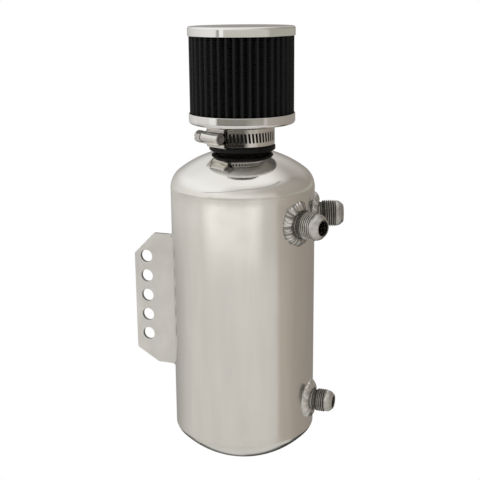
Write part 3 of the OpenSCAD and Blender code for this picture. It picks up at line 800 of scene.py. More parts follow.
# Painted shade over the back of each puddle, which sinks into the crease with the one before; the raised
# front stays clean.
ahead_of = beads.parts(beads.step("InputPosition"))[0]
ball = beads.step("StoreNamedAttribute", {
    "Geometry": ball, "Name": "soiled", "Value": beads.ramp(ahead_of, 0.30, 0.10, 0.0, given["Crease shade"])},
    data_type="FLOAT", domain="POINT")
size = beads.xyz(given["Length"], given["Width"], given["Height"])
puddle = beads.step("Transform", {"Geometry": ball, "Scale": size})
facing = beads.step("InputNamedAttribute", {"Name": "facing"}, data_type="FLOAT_VECTOR")
tangent = beads.step("InputTangent")
laid_flat = beads.function(
    "AxesToRotation", {"Primary Axis": facing, "Secondary Axis": tangent},
    primary_axis="Z", secondary_axis="X")
tip_back = beads.function("EulerToRotation", {0: beads.xyz(y=given["Tip back"])})
tipped = beads.function(
    "RotateRotation", {"Rotation": laid_flat, "Rotate By": tip_back}, rotation_space="LOCAL")
varied = beads.function("RandomValue", {
    "Min": beads.minus(1.0, given["Variation"]), "Max": beads.plus(1.0, given["Variation"]),
    "Seed": given["Seed"]}, data_type="FLOAT_VECTOR")
astray = beads.function("RandomValue", {
    "Min": (-1.0, -1.0, -1.0), "Max": (1.0, 1.0, 1.0), "Seed": beads.plus(given["Seed"], 50.0)},
    data_type="FLOAT_VECTOR")
drift = beads.vector("SCALE", {0: astray, "Scale": given["Wander"]})
stray = beads.step("SetPosition", {"Geometry": steps, "Offset": drift})
laid = beads.step("InstanceOnPoints", {
    "Points": stray, "Instance": puddle, "Rotation": tipped, "Scale": varied})
close_tree(beads, laid)

# %% Lay the fittings' beads along their saddles
WELD_REACH, WELD_CLIMB, RIPPLE, BEAD_SUNK = 7.4 * MM, 3.8 * MM, 2.7 * MM, 0.75 * MM


def saddle_points(port, radius, lift, angle):
    """Points over the tube at a radius around a port, lifted out along the port's axis."""
    along = np.sqrt(CAN_R ** 2 - (radius * np.cos(angle)) ** 2) + lift
    return port_point(port, along, radius + 0 * angle, angle)


def path_mesh(name, points, facing, closed):
    count = len(points)
    edges = [(k, (k + 1) % count) for k in range(count if closed else count - 1)]
    mesh = bpy.data.meshes.new(name)
    mesh.from_pydata(points.tolist(), edges, [])
    mark_points(mesh, "facing", "FLOAT_VECTOR", facing)
    return mesh


def unit(vectors):
    return vectors / np.linalg.norm(vectors, axis=-1, keepdims=True)


# How much painted shade each bead's creases get: the front inlet's most, the drain's least.
CREASE_SHADE = (0.95, 0.5, 0.2)
TIP_BACK = (-0.19, -0.12, -0.06)
for seed, port in enumerate(PORTS):
    inner = port.size["thread"] - 0.32 * MM
    angle = circle(240)
    toe = saddle_points(port, inner + WELD_REACH, 0.0, angle)
    top = saddle_points(port, inner, WELD_CLIMB, angle)
    middle_line = (toe + top) / 2
    onward = unit(np.roll(middle_line, -1, axis=0) - np.roll(middle_line, 1, axis=0))
    facing = unit(np.cross(onward, unit(toe - top)))
    facing *= np.sign(facing @ port_frame(port)[0])[:, None]
    path = path_mesh(port.weld, middle_line - facing * BEAD_SUNK, facing, True)
    count = round(2 * math.pi * (inner + WELD_REACH / 2) / RIPPLE)
    bead = grow(port.weld, beads, path, {
        "Puddles": count, "Length": 9.4 * MM, "Width": 9.0 * MM, "Height": 4.1 * MM,
        "Tip back": TIP_BACK[seed], "Variation": 0.11, "Wander": 0.35 * MM, "Crease shade": CREASE_SHADE[seed],
        "Seed": seed, "Material": weld_metal})
    place(port.weld + "_dressed", bead, weld_metal, "weld", port.weld)

# %% Lay the tacks at the fin's two ends
TACK_STEPS = 12
for seed, (end, height, face) in enumerate((("upper", fin_high.z, 1), ("lower", fin_low.z, -1))):
    label = "fin_weld_" + end
    run = np.linspace(0, 1, TACK_STEPS)[:, None]
    root = np.array([AXIS_X - CAN_R - 0.6 * MM, 0, height - face * 0.4 * MM])
    points = root + run * np.array([-4.6 * MM, 0, face * -0.2 * MM])
    facing = unit(np.tile([-0.25, 0, face], (TACK_STEPS, 1)).astype(float))
    tack = grow(label, beads, path_mesh(label, points, facing, False), {
        "Puddles": 4, "Length": 4.6 * MM, "Width": 6.2 * MM, "Height": 3.8 * MM, "Tip back": -0.2,
        "Variation": 0.1, "Crease shade": 0.6, "Seed": 11 + seed, "Material": weld_metal})
    place(label + "_dressed", tack, weld_metal, "weld", label)

# %% [markdown]
# ## Pleated filter element
# The element is one long strip of cloth and wire screen, folded into a ring of pleats.
# Because every pleat is the same, one fold is drawn, and a tree sets it around the axis as
# often as asked, joins the folds and leans the outer tips a little, as cloth never folds
# evenly.

# %% Draw one fold
element_low, element_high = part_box("pleated_element")
PLEATS = 42
CLOTH_T = 0.9 * MM
half_fold = math.pi / PLEATS
TIP_R_OUT, TIP_R_IN = 0.85 * MM, 0.5 * MM
TIP_OUT = CAP_R - CAP_SHEET - 0.2 * MM - CLOTH_T / 2
TIP_IN = TIP_OUT - 11 * MM + CLOTH_T


def fold_corner(radius, steps_round, bend):
    turn_angle = steps_round * half_fold
    return radius * math.cos(turn_angle), radius * math.sin(turn_angle), bend


def sharp_fold():
    """Radii of a sharp fold whose rounded tips reach TIP_OUT and TIP_IN."""
    outer, inner = TIP_OUT, TIP_IN
    for _ in range(60):
        half_out = math.atan2(inner * math.sin(half_fold), outer - inner * math.cos(half_fold))
        half_in = math.atan2(outer * math.sin(half_fold), outer * math.cos(half_fold) - inner)
        outer = TIP_OUT + TIP_R_OUT * (1 / math.sin(half_out) - 1)
        inner = TIP_IN - TIP_R_IN * (1 / math.sin(half_in) - 1)
    return outer, inner


FOLD_OUT, FOLD_IN = sharp_fold()
ARC = 8
fold_line = rounded([
    fold_corner(FOLD_OUT, -2, 0), fold_corner(FOLD_IN, -1, TIP_R_IN), fold_corner(FOLD_OUT, 0, TIP_R_OUT),
    fold_corner(FOLD_IN, 1, TIP_R_IN), fold_corner(FOLD_OUT, 2, 0)], steps=ARC, closed=False, guard=0)
fold_line = fold_line[1 + ARC // 2:1 + 2 * (ARC + 1) + ARC // 2 + 1]
fold_rows = np.linspace(element_low.z, element_high.z, 20)
fold_points = np.stack([
    np.stack([fold_line[:, 0], fold_line[:, 1], np.full(len(fold_line), z)], axis=1) for z in fold_rows])
run_out = np.concatenate([[0], np.cumsum(np.linalg.norm(np.diff(fold_line, axis=0), axis=1))])
one_fold = join_rows("one_fold", fold_points, False, False, (run_out, fold_rows))
print(f"one fold: {run_out[-1] / MM:.1f} mm of cloth in {len(fold_line)} points")

# %% Tree: set the fold around the axis
pleats = open_tree("ring of pleats", {
    "Pleats": PLEATS, "Axis X": 0.0, "Inner radius": FOLD_IN, "Lean": 0.6 * MM, "Seed": 3,
    "Material": "Material"})
given = pleats.given
LEAN_SCALE, SEED_STEP = 210.0, 7.3
stand = pleats.xyz(given["Axis X"])
spots = pleats.step("MeshLine", {
    "Count": given["Pleats"], "Start Location": stand, "Offset": (0.0, 0.0, 0.0)})
step_angle = pleats.math("DIVIDE", 2 * math.pi, given["Pleats"])
about = pleats.xyz(z=pleats.times(pleats.step("InputIndex"), step_angle))
spun = pleats.function("EulerToRotation", {0: about})
ring = pleats.step("InstanceOnPoints", {
    "Points": spots, "Instance": given["Geometry"], "Rotation": spun})
joined = pleats.step("MergeByDistance", {
    "Geometry": pleats.step("RealizeInstances", {0: ring}), "Distance": 0.002 * MM})
from_axis = pleats.vector("SUBTRACT", {0: pleats.step("InputPosition"), 1: stand})
flat = pleats.vector("MULTIPLY", {0: from_axis, 1: (1, 1, 0)})
beyond = pleats.minus(pleats.vector("LENGTH", {0: flat}, "Value"), given["Inner radius"])
sideways = pleats.vector("NORMALIZE", {0: pleats.vector("CROSS_PRODUCT", {0: (0, 0, 1), 1: flat})})
uneven = pleats.add("ShaderNodeTexNoise", {
    "Vector": flat, "W": pleats.times(given["Seed"], SEED_STEP), "Scale": LEAN_SCALE, "Detail": 0.0},
    noise_dimensions="4D").outputs["Fac"]
share_out = pleats.math("DIVIDE", beyond, FOLD_OUT - FOLD_IN)
push = pleats.times(pleats.minus(uneven, 0.5), given["Lean"])
push = pleats.times(pleats.times(push, 2.0), share_out)
shift = pleats.vector("SCALE", {0: sideways, "Scale": push})
close_tree(pleats, pleats.step("SetPosition", {"Geometry": joined, "Offset": shift}))

# %% [markdown]
# The cloth is black cotton behind a black wire screen. The pattern follows the cloth, so it
# reads the fold's own UV lengths: two sets of thin lines 1.8 mm apart, raised and shinier
# than the cloth between them. The cloth is painted paler deep in the folds: painted light that lifts the
# shaded valleys.

# %% Screened cloth
SCREEN_PITCH, WIRE_HEIGHT = 1.8 * MM, 0.25 * MM
WEAVE_SCALE, WEAVE_HEIGHT = 2600.0, 0.1 * MM
FOLD_HALF = float(run_out[-1] / 2)


def screened_cloth(name):
    material, graph, shader, _, lengths = start_material(name)
    along = graph.parts(lengths)
    wires = []
    for axis, thin_end, thick_end in ((0, 0.08, 0.16), (1, 0.16, 0.3)):
        place_in_step = graph.math("FRACT", graph.math("DIVIDE", along[axis], SCREEN_PITCH))
        off_wire = graph.math("ABSOLUTE", graph.minus(place_in_step, 0.5))
        wires.append(graph.ramp(off_wire, thin_end, thick_end, 1.0, 0.0))
    wire = graph.math("MAXIMUM", *wires)
    # Painted light: the cloth is paler deeper in the fold, which lifts the shaded valleys.
    depth = graph.math("ABSOLUTE", graph.minus(graph.math("DIVIDE", along[0], FOLD_HALF), 1.0))
    paler_valley = graph.mix(depth, (0.006, 0.006, 0.0063), (0.10, 0.10, 0.105))
    weave = graph.noise(lengths, WEAVE_SCALE)
    height = graph.times_plus(weave, WEAVE_HEIGHT, graph.times(wire, WIRE_HEIGHT))
    graph.fill(shader, {
        "Base Color": graph.mix(wire, paler_valley, (0.030, 0.030, 0.0315)), "Metallic": wire,
        "Roughness": graph.ramp(wire, 0.0, 1.0, 0.85, 0.4), "Normal": graph.bump(height),
        "Specular IOR Level": 0.2})
    return material


filter_cloth = screened_cloth("filter_cloth")
cloth_mesh = grow("pleats", pleats, one_fold, {
    "Pleats": PLEATS, "Axis X": AXIS_X, "Inner radius": FOLD_IN, "Lean": 0.5 * MM, "Material": filter_cloth})
element = place("pleated_element_dressed", cloth_mesh, filter_cloth, "media", "pleated_element")
wall = element.modifiers.new("cloth thickness", "SOLIDIFY")
wall.thickness, wall.offset = CLOTH_T, 0

# %% [markdown]
# ## Clamp band
# The band is a steel strip, punched with leaning slots that the worm bites in, and wound
# once round the collar, its tail over its start. It is made as it is in life: a tree lays
# punched cells in a straight strip, welds them together, and then rolls the strip up. The
# roll rises by one thickness where the tail climbs over the start.

# %% Punch one cell of the strip
BAND_W, BAND_T, BAND_STEP = 14.2 * MM, 0.7 * MM, 0.82 * MM
BAND_R = COLLAR_R + 0.05 * MM
SLOT_PITCH, SLOT_L, SLOT_W = 3 * MM, 7.8 * MM, 1.8 * MM
SLOT_LEAN = math.radians(6)
BAND_TURN, SLOT_TURN = math.radians(427), math.radians(240)
ACROSS = 9
across_steps = np.linspace(-0.5, 0.5, ACROSS) * BAND_W
along_steps = np.array([-0.5, -0.38, -0.22, 0, 0.22, 0.38, 0.5]) * SLOT_PITCH


def slot_cell():
    """A cell of the strip, flat in XY, around a leaning slot with rounded corners."""
    edge = [(x, across_steps[0]) for x in along_steps[:-1]]
    edge += [(along_steps[-1], y) for y in across_steps[:-1]]
    edge += [(x, across_steps[-1]) for x in along_steps[:0:-1]]
    edge += [(along_steps[0], y) for y in across_steps[:0:-1]]
    edge = np.array(edge)
    reach = (np.abs(edge[:, 0] / (SLOT_W / 2)) ** 6 + np.abs(edge[:, 1] / (SLOT_L / 2)) ** 6) ** (-1 / 6)
    rim = edge * reach[:, None]
    between = rim * 1.12
    rows = np.stack([edge, between, rim])
    rows[1:, :, 0] += rows[1:, :, 1] * math.tan(SLOT_LEAN)
    return np.concatenate([rows, np.zeros(rows.shape[:2] + (1,))], axis=-1)


cell_mesh = join_rows("slot_cell", slot_cell())


def plain_strip(start, end):
    """A plain stretch of the strip, in steps of about one degree."""
    along = np.linspace(start, end, max(3, round((end - start) / (0.5 * MM))))
    return np.stack([
        np.stack([np.full(ACROSS, x), across_steps, np.zeros(ACROSS)], axis=1) for x in along])


slots_from = (BAND_TURN - SLOT_TURN) * BAND_R - SLOT_PITCH / 2
SLOTS = int(round(SLOT_TURN * BAND_R / SLOT_PITCH - 0.5))
slots_to = slots_from + SLOTS * SLOT_PITCH
start_strip = join_rows("start_strip", plain_strip(0.0, slots_from), False, False)
tail_strip = join_rows("tail_strip", plain_strip(slots_to, BAND_TURN * BAND_R), False, False)
print(f"band: {SLOTS} slots between {slots_from / MM:.0f} and {slots_to / MM:.0f} mm")

# %% Tree: lay the cells, join the strip and roll it up
rolled = open_tree("rolled band", {
    "Cell": "Object", "Slots": SLOTS, "Pitch": SLOT_PITCH, "First slot": 0.0, "Radius": BAND_R,
    "Rise": BAND_STEP, "Rise from": 0.0, "Rise to": 1.0, "Start angle": 0.0, "Axis X": 0.0,
    "Middle height": 0.0, "Material": "Material"})
given = rolled.given
row = rolled.step("MeshLine", {
    "Count": given["Slots"], "Offset": rolled.xyz(given["Pitch"]),
    "Start Location": rolled.xyz(rolled.times_plus(given["Pitch"], 0.5, given["First slot"]))})
cell = rolled.add("GeometryNodeObjectInfo", {"Object": given["Cell"]}).outputs["Geometry"]
punched = rolled.step("InstanceOnPoints", {"Points": row, "Instance": cell})
parts = rolled.add("GeometryNodeJoinGeometry")
for part in (given["Geometry"], rolled.step("RealizeInstances", {0: punched})):
    rolled.put(part, parts.inputs[0])
strip = rolled.step("MergeByDistance", {"Geometry": parts.outputs[0], "Distance": 0.02 * MM})
place_of = rolled.parts(rolled.step("InputPosition"))
turn_of = rolled.math("DIVIDE", place_of[0], given["Radius"])
climb = rolled.ramp(turn_of, given["Rise from"], given["Rise to"], 0.0, given["Rise"], "SMOOTHSTEP")
radius = rolled.plus(given["Radius"], climb)
bearing = rolled.minus(given["Start angle"], turn_of)
wound = rolled.xyz(
    rolled.times_plus(radius, rolled.math("COSINE", bearing), given["Axis X"]),
    rolled.times(radius, rolled.math("SINE", bearing)),
    rolled.plus(place_of[1], given["Middle height"]))
close_tree(rolled, rolled.step("SetPosition", {"Geometry": strip, "Position": wound}))

# %% Roll the band round the collar
band_low, band_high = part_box("clamp_band")
BAND_Z = (band_low.z + band_high.z) / 2
CLAMP_TURN = math.radians(243)
RISE_FROM, RISE_TO = math.radians(322), math.radians(350)


def merge_meshes(name, meshes):
    work = bmesh.new()
    for mesh in meshes:
        work.from_mesh(mesh)
    joined = bpy.data.meshes.new(name)
    work.to_mesh(joined)
    work.free()
    return joined


cell_holder = bpy.data.objects.new("slot_cell", cell_mesh)
band_mesh = grow("clamp_band", rolled, merge_meshes("strips", [start_strip, tail_strip]), {
    "Cell": cell_holder, "Slots": SLOTS, "Pitch": SLOT_PITCH, "First slot": slots_from, "Radius": BAND_R,
    "Rise": BAND_STEP, "Rise from": RISE_FROM, "Rise to": RISE_TO,
    "Start angle": CLAMP_TURN + math.radians(13), "Axis X": AXIS_X, "Middle height": BAND_Z,
    "Material": band_steel})
bpy.data.objects.remove(cell_holder)
tidy_skin(band_mesh)


def faces_away_from_axis(mesh):
    """Whether most of the faces look away from the can's axis."""
    away = [
        face.normal.x * (face.center.x - AXIS_X) + face.normal.y * face.center.y > 0
        for face in mesh.polygons]
    return sum(away) > len(away) / 2


if not faces_away_from_axis(band_mesh):
    band_mesh.flip_normals()
band = place("clamp_band_dressed", band_mesh, band_steel, "clamp", "clamp_band")
wall = band.modifiers.new("band thickness", "SOLIDIFY")
wall.thickness, wall.offset = BAND_T, 1
edges = band.modifiers.new("broken edges", "BEVEL")
edges.width, edges.segments = 0.09 * MM, 2
edges.limit_method, edges.angle_limit = "ANGLE", CUT_SHARP
edges.harden_normals = True

# %% [markdown]
# ## Worm housing and screw
# The housing is pressed from one strip: two feet that straddle the band, a shoulder over
# each, and a barrel round the worm whose ends are curled in. Its section is a line drawn
# once, given the sheet's thickness on both sides, and run along the screw.

# %% Frame of the clamp
WORM_R, WORM_GAP = 4 * MM, 0.35 * MM
SCREW_R = BAND_R + BAND_STEP + BAND_T + WORM_GAP + WORM_R
HOUSING_L, HOUSING_SHEET = 21 * MM, 0.85 * MM
BARREL_R = WORM_R + WORM_GAP
clamp_out = np.array([math.cos(CLAMP_TURN), math.sin(CLAMP_TURN), 0])
clamp_along = np.array([-math.sin(CLAMP_TURN), math.cos(CLAMP_TURN), 0])
clamp_along *= np.sign(clamp_along[0])
clamp_up = np.array([0, 0, 1.0])
clamp_centre = np.array([AXIS_X, 0, BAND_Z])


def clamp_points(along, out, up):
    """World points from distances along the screw, out from the neck and up."""
    return (clamp_centre + clamp_along * along[..., None] + clamp_out * out[..., None]
            + clamp_up * up[..., None])


def screw_points(along, radius, angle):
    """World points from distances along the screw, and a radius and angle around it."""
    return clamp_points(along, SCREW_R + radius * np.cos(angle), radius * np.sin(angle))


# %% Press the housing
def housing_mesh():
    half = HOUSING_SHEET / 2
    foot, barrel = BAND_W / 2 + 0.25 * MM + half, BARREL_R + half
    shoulder = SCREW_R - WORM_R + 0.6 * MM + half
    side = [(foot, BAND_R, 0), (foot, shoulder, 1.1 * MM), (barrel, shoulder, 0.5 * MM), (barrel, SCREW_R, 0)]
    left = rounded(side, steps=5, closed=False)
    dome = arc_points(0, SCREW_R, barrel, 0, 180, 28)
    line = np.concatenate([left, dome[1:-1], left[::-1] * [-1, 1]])
    ahead = np.gradient(line, axis=0)
    normal = unit(np.stack([ahead[:, 1], -ahead[:, 0]], axis=1))
    loop = np.concatenate([line + normal * half, (line - normal * half)[::-1]])
    ends = HOUSING_L / 2 - np.array([0, 0.12, 0.4, 0.8, 1.2, 1.7]) * MM
    along = np.concatenate([-ends, np.linspace(-ends[-1], ends[-1], 8)[1:-1], ends[::-1]])
    curl = np.clip((np.abs(along) - ends[-1]) / (HOUSING_L / 2 - ends[-1]), 0, 1) ** 2
    on_barrel = np.clip((loop[:, 1] - shoulder) / (SCREW_R - shoulder), 0, 1)
    pull = 1 - 0.15 * curl[:, None] * on_barrel[None, :]
    up = loop[None, :, 0] * pull
    out = SCREW_R + (loop[None, :, 1] - SCREW_R) * pull
    # Painted shade on the inner side of the pressed sheet, and on the barrel near both ends, by the screw's
    # head and tip.
    inside = np.arange(len(loop)) >= len(line)
    near_end = np.clip((np.abs(along) - ends[-1]) / (ends[0] - ends[-1]), 0, 1)[:, None]
    by_head = 0.9 * near_end ** 2 * (along < 0)[:, None]
    by_tip = 0.95 * near_end ** 2 * (along > 0)[:, None]
    soiled = np.maximum(inside[None, :] * 1.0, (by_head + by_tip) * on_barrel[None, :])
    points = clamp_points(along[:, None] + 0 * up, out, up)
    mesh = join_rows("housing", points, soiled=soiled)
    cap_ends(mesh, len(loop), len(along))
    return tidy_skin(mesh, CUT_SHARP)


def cap_ends(mesh, around, rows):
    """Closes both ends of a folded sheet: each outer point faces one inner point."""
    work = bmesh.new()
    work.from_mesh(mesh)
    work.verts.ensure_lookup_table()
    for start in (0, around * (rows - 1)):
        for k in range(around // 2 - 1):
            ring = [start + k, start + k + 1, start + around - 2 - k, start + around - 1 - k]
            work.faces.new([work.verts[n] for n in ring])
    work.to_mesh(mesh)
    work.free()


def end_plate(end, journal):
    """A plate with a journal hole, set just inside one end of the barrel."""
    inner, rim = end - np.sign(end) * HOUSING_SHEET, BARREL_R * 0.87
    angle, along, radius = spread(np.array([
        [end, journal], [end, journal + 0.2 * MM], [end, (journal + rim) / 2], [end, rim],
        [inner, BARREL_R * 0.98], [inner, journal]]), 64)
    # Painted shade over the end plate, inside the barrel's end.
    plate_shade = np.array([1.0, 0.95, 0.8, 1.0, 1.0, 1.0])
    soiled = np.broadcast_to(plate_shade[:, None], angle.shape)
    return join_rows("end_plate", screw_points(along, radius, angle), True, True, soiled=soiled)


HEAD_JOURNAL, TIP_JOURNAL = 3.18 * MM, 2.38 * MM
housing = merge_meshes("clamp_housing", [
    housing_mesh(), end_plate(-HOUSING_L / 2 + 0.3 * MM, HEAD_JOURNAL),
    end_plate(HOUSING_L / 2 - 0.5 * MM, TIP_JOURNAL)])
place("clamp_housing_dressed", tidy_skin(housing, CUT_SHARP), band_steel, "clamp", "clamp_housing")

# %% [markdown]
# The screw is one turned piece, so it is one skin: from the hexagon with both ends
# chamfered, over the shank and the worm's helix, to the tip. Where a chamfer meets the
# flats of a hexagon it leaves the curved edges that every nut has, and taking the smaller
# of the two radii gives them for free.

# %% Turn the screw
HEX_FLAT, HEX_L = 4.5 * MM, 7.6 * MM
WORM_ROOT, TIP_R = 3.1 * MM, 2.3 * MM
SCREW_SEGMENTS, WORM_ROWS = 96, 90
SCREW_SHARP = math.radians(32)
head_far = -HOUSING_L / 2 - 0.3 * MM - HEX_L
head_near = head_far + HEX_L
worm_end = (HOUSING_L - 2 * HOUSING_SHEET - 0.6 * MM) / 2
tip_end = worm_end + HOUSING_SHEET + 0.6 * MM


def hexagon_radius(along, angle):
    sixth = math.pi / 3
    flats = HEX_FLAT / np.cos((angle + sixth / 2) % sixth - sixth / 2)
    chamfer = HEX_FLAT - 0.25 * MM + np.minimum(along - head_far, head_near - along) * 0.8
    return np.minimum(flats, chamfer)


def worm_radius(along, angle):
    phase = (along / SLOT_PITCH - angle / (2 * math.pi)) % 1.0
    ridge = np.clip((0.32 - np.abs(phase - 0.5)) / 0.14, 0, 1)
    runout = np.clip((worm_end - np.abs(along)) / (0.5 * MM), 0, 1)
    return WORM_ROOT + (WORM_R - WORM_ROOT) * ridge * runout


def screw_mesh():
    angle = circle(SCREW_SEGMENTS)[None, :]
    hex_rows = head_far + np.array([0, 0.1, 0.25, 0.4, 0.6, 0.85, 1.2, 2, 3.8]) * MM
    hex_rows = np.concatenate([hex_rows, (head_far + head_near) - hex_rows[::-1][1:]])
    worm_rows = np.linspace(-worm_end, worm_end, WORM_ROWS)
    tip = rounded([(worm_end, TIP_R, 0), (tip_end, TIP_R, 0.5 * MM), (tip_end, 0, 0)], closed=False)
    parts = [
        (np.array([head_far]), lambda x, a: 0 * a * x),
        (hex_rows, hexagon_radius),
        (np.array([head_near, -worm_end - 0.01 * MM]), lambda x, a: WORM_ROOT + 0 * a * x),
        (worm_rows, worm_radius)]
    along = [rows[:, None] + 0 * angle for rows, _ in parts] + [tip[:, :1] + 0 * angle]
    radius = [rule(rows[:, None], angle) for rows, rule in parts] + [tip[:, 1:] + 0 * angle]
    along, radius = np.concatenate(along), np.concatenate(radius)
    points = screw_points(along, radius, angle)
    # Painted shade over the inner end of the head and the whole worm inside the housing, and a little less
    # over the tip.
    sunk = np.clip((WORM_R - 0.3 * MM - radius) / (0.5 * MM), 0, 1)
    soiled = np.where(along < worm_end, sunk, 0.85) * (along > head_near - 0.05 * MM)
    by_head = np.clip((along - head_near + 0.9 * MM) / (0.6 * MM), 0, 1)
    soiled = np.maximum(soiled, by_head * (along < worm_end))
    return tidy_skin(join_rows("clamp_screw", points, soiled=soiled), SCREW_SHARP)


def box_mesh(name, half_along, half_out, half_up, at):
    corners = np.array([[a, b, c] for a in (-1, 1) for b in (-1, 1) for c in (-1, 1)], float)
    corners = corners * [half_along, half_out, half_up] + [at, SCREW_R, 0]
    mesh = bpy.data.meshes.new(name)
    points = clamp_points(corners[:, 0], corners[:, 1], corners[:, 2])
    mesh.from_pydata(points.tolist(), [], [
        (0, 1, 3, 2), (4, 6, 7, 5), (0, 4, 5, 1), (2, 3, 7, 6), (0, 2, 6, 4), (1, 5, 7, 3)])
    return tidy_skin(mesh)


driver_slot = box_mesh("driver_slot", 1.3 * MM, 8 * MM, 0.6 * MM, head_far)
screw = cut_with(screw_mesh(), driver_slot, "clamp_screw")
screw.set_sharp_from_angle(angle=SCREW_SHARP)
place("clamp_screw_dressed", screw, screw_steel, "screw", "clamp_screw", body="worm_screw")

# %% [markdown]
# ## Pieces out of sight
# The neck, its fillet weld, the baffle and the ring of sealant keep their CAD shapes, which
# are right. They only need their finish. The neck's weld gets a near-black metal: painted shade for the gap
# under the collar.

# %% Finish the CAD pieces that stay
for node, material in (("splash_baffle", satin_fin), ("neck_spigot", satin_fin), ("neck_weld", painted_shade_weld),
                       ("top_potting", grey_sealant)):
    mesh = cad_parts[node].data
    mesh.materials.clear()
    mesh.materials.append(material)
    print(node, "->", material.name)

# %% [markdown]
# ## Light, floor and camera
# A polished can shows the room. The photograph's room is bright in front, to the left and
# above, and falls off to a warm grey on the right, so the world is a gradient by direction.
# Strips in it stand for the edges and openings that the metal mirrors, and a thin shadow
# line crosses it overhead. The camera sees plain white behind the object.

# %% Build the world
scene = bpy.context.scene
VIEW_TURN = math.radians(21)
view_right = np.array([math.cos(VIEW_TURN), math.sin(VIEW_TURN), 0])
view_back = np.array([math.sin(VIEW_TURN), -math.cos(VIEW_TURN), 0])

scene.world = bpy.data.worlds.new("studio")
scene.world.use_nodes = True
sky = Graph(scene.world.node_tree)
sky.tree.nodes.clear()
ray = sky.add("ShaderNodeTexCoord").outputs["Generated"]
up = sky.parts(ray)[2]
bearing = sky.math("ARCTAN2", *(
    sky.vector("DOT_PRODUCT", {0: ray, 1: tuple(way)}, "Value") for way in (view_right, view_back)))
around = sky.times_plus(bearing, 0.5 / math.pi, 0.5)

# Each stop: bearing in degrees from the camera's side, to the right; brightness; warmth.
BELOW = [
    (-180, 0.40, 0.05), (-168, 0.33, 0.05), (-150, 0.36, 0.04), (-120, 0.53, 0.04),
    (-90, 0.65, 0.04), (15, 0.67, 0.04), (40, 0.64, 0.04), (54, 0.61, 0.05), (60, 0.45, 0.11),
    (90, 0.35, 0.12), (140, 0.28, 0.12), (160, 0.25, 0.1), (170, 0.3, 0.08), (180, 0.40, 0.06)]
LEVEL = [
    (-180, 0.31, 0.05), (-150, 0.59, 0.03), (-120, 0.73, 0.03), (-90, 0.80, 0.03), (-30, 0.86, 0.03),
    (0, 0.86, 0.03), (15, 0.76, 0.04), (35, 0.64, 0.05), (50, 0.56, 0.06), (57, 0.38, 0.1),
    (90, 0.33, 0.12), (130, 0.29, 0.12), (180, 0.31, 0.08)]
ABOVE = [
    (-180, 0.72, 0.01), (-150, 0.82, 0.01), (-120, 0.97, 0.0), (-45, 0.97, 0.0), (-28, 0.80, 0.02),
    (-12, 0.68, 0.03), (15, 0.60, 0.04), (32, 0.48, 0.06), (60, 0.40, 0.08), (100, 0.35, 0.08),
    (125, 0.30, 0.08), (150, 0.42, 0.06), (180, 0.72, 0.03)]
CEILING = (0.93, 0.92, 0.90, 1)
FOOT = (0.66, 0.645, 0.62, 1)


def room_row(stops):
    ramp = sky.add("ShaderNodeValToRGB", {"Fac": around})
    marks = ramp.color_ramp.elements
    while len(marks) < len(stops):
        marks.new(0.5)
    for mark, (degrees, level, warmth) in zip(marks, stops):
        mark.position = degrees / 360 + 0.5
        mark.color = (level * (1 + warmth), level, level * (1 - warmth), 1)
    return ramp.outputs[0]


def window(value, ends, soft, scale=1.0):
    """1 between two ends and 0 outside, with soft edges. The scale is the ends' unit."""
    low, high = ends
    rise = sky.ramp(value, (low - soft) * scale, (low + soft) * scale)
    fall = sky.ramp(value, (high - soft) * scale, (high + soft) * scale, 1.0, 0.0)
    return sky.times(rise, fall)


walls = FOOT
for colour, low_up, high_up in ((room_row(BELOW), -0.72, -0.46), (room_row(LEVEL), -0.275, -0.20),
                                (room_row(ABOVE), 0.08, 0.5), (CEILING, 0.62, 0.97)):
    walls = sky.mix(sky.ramp(up, low_up, high_up, kind="SMOOTHSTEP"), walls, colour)
# Each strip of the room: its ends in height, its ends in bearing, their softness, and its colour.
STRIPS = [
    ((-0.137, -0.055), (-57, 48), (0.002, 3.0), (0.30, 0.285, 0.25)),
    ((-0.137, -0.055), (-75, -57), (0.006, 2.0), (1.0, 0.99, 0.95)),
    ((-0.055, 0.01), (-54, -47), (0.006, 2.0), (0.36, 0.35, 0.33)),
    ((-0.055, 0.01), (-47, -38), (0.006, 1.0), (1.0, 1.0, 0.98)),
    ((-0.055, 0.01), (-38, 62), (0.006, 2.0), (0.60, 0.585, 0.53)),
    ((-0.075, 0.03), (62, 150), (0.03, 8.0), (0.41, 0.40, 0.345)),
    ((-0.176, -0.136), (-66, 17), (0.002, 11.0), (0.02, 0.018, 0.016)),
    ((-0.176, -0.137), (-115, -66), (0.002, 5.0), (0.10, 0.09, 0.075)),
    ((-0.250, -0.178), (-62, 24), (0.012, 9.0), (1.15, 1.13, 1.09)),
    ((-0.74, -0.51), (-200, -120), (0.025, 12.0), (0.10, 0.095, 0.09)),
    ((-0.78, -0.51), (110, 200), (0.025, 12.0), (0.05, 0.048, 0.045))]
DEGREE = math.radians(1)
for heights, bearings, (soft_up, soft_turn), colour in STRIPS:
    strip = sky.times(window(up, heights, soft_up), window(bearing, bearings, soft_turn, DEGREE))
    walls = sky.mix(strip, walls, colour)
# A thin shadow line overhead that climbs to the right, such as the edge of a lamp's screen.
edge_left = sky.ramp(bearing, -62 * DEGREE, 0.0, 0.30, 0.68)
edge_right = sky.ramp(bearing, 0.0, 98 * DEGREE, 0.0, 0.12)
above_edge = sky.minus(sky.minus(up, edge_left), edge_right)
edge_line = sky.times(window(above_edge, (-0.02, 0.02), 0.015), window(bearing, (-66, 100), 6, DEGREE))
walls = sky.mix(edge_line, walls, (0.36, 0.35, 0.33))


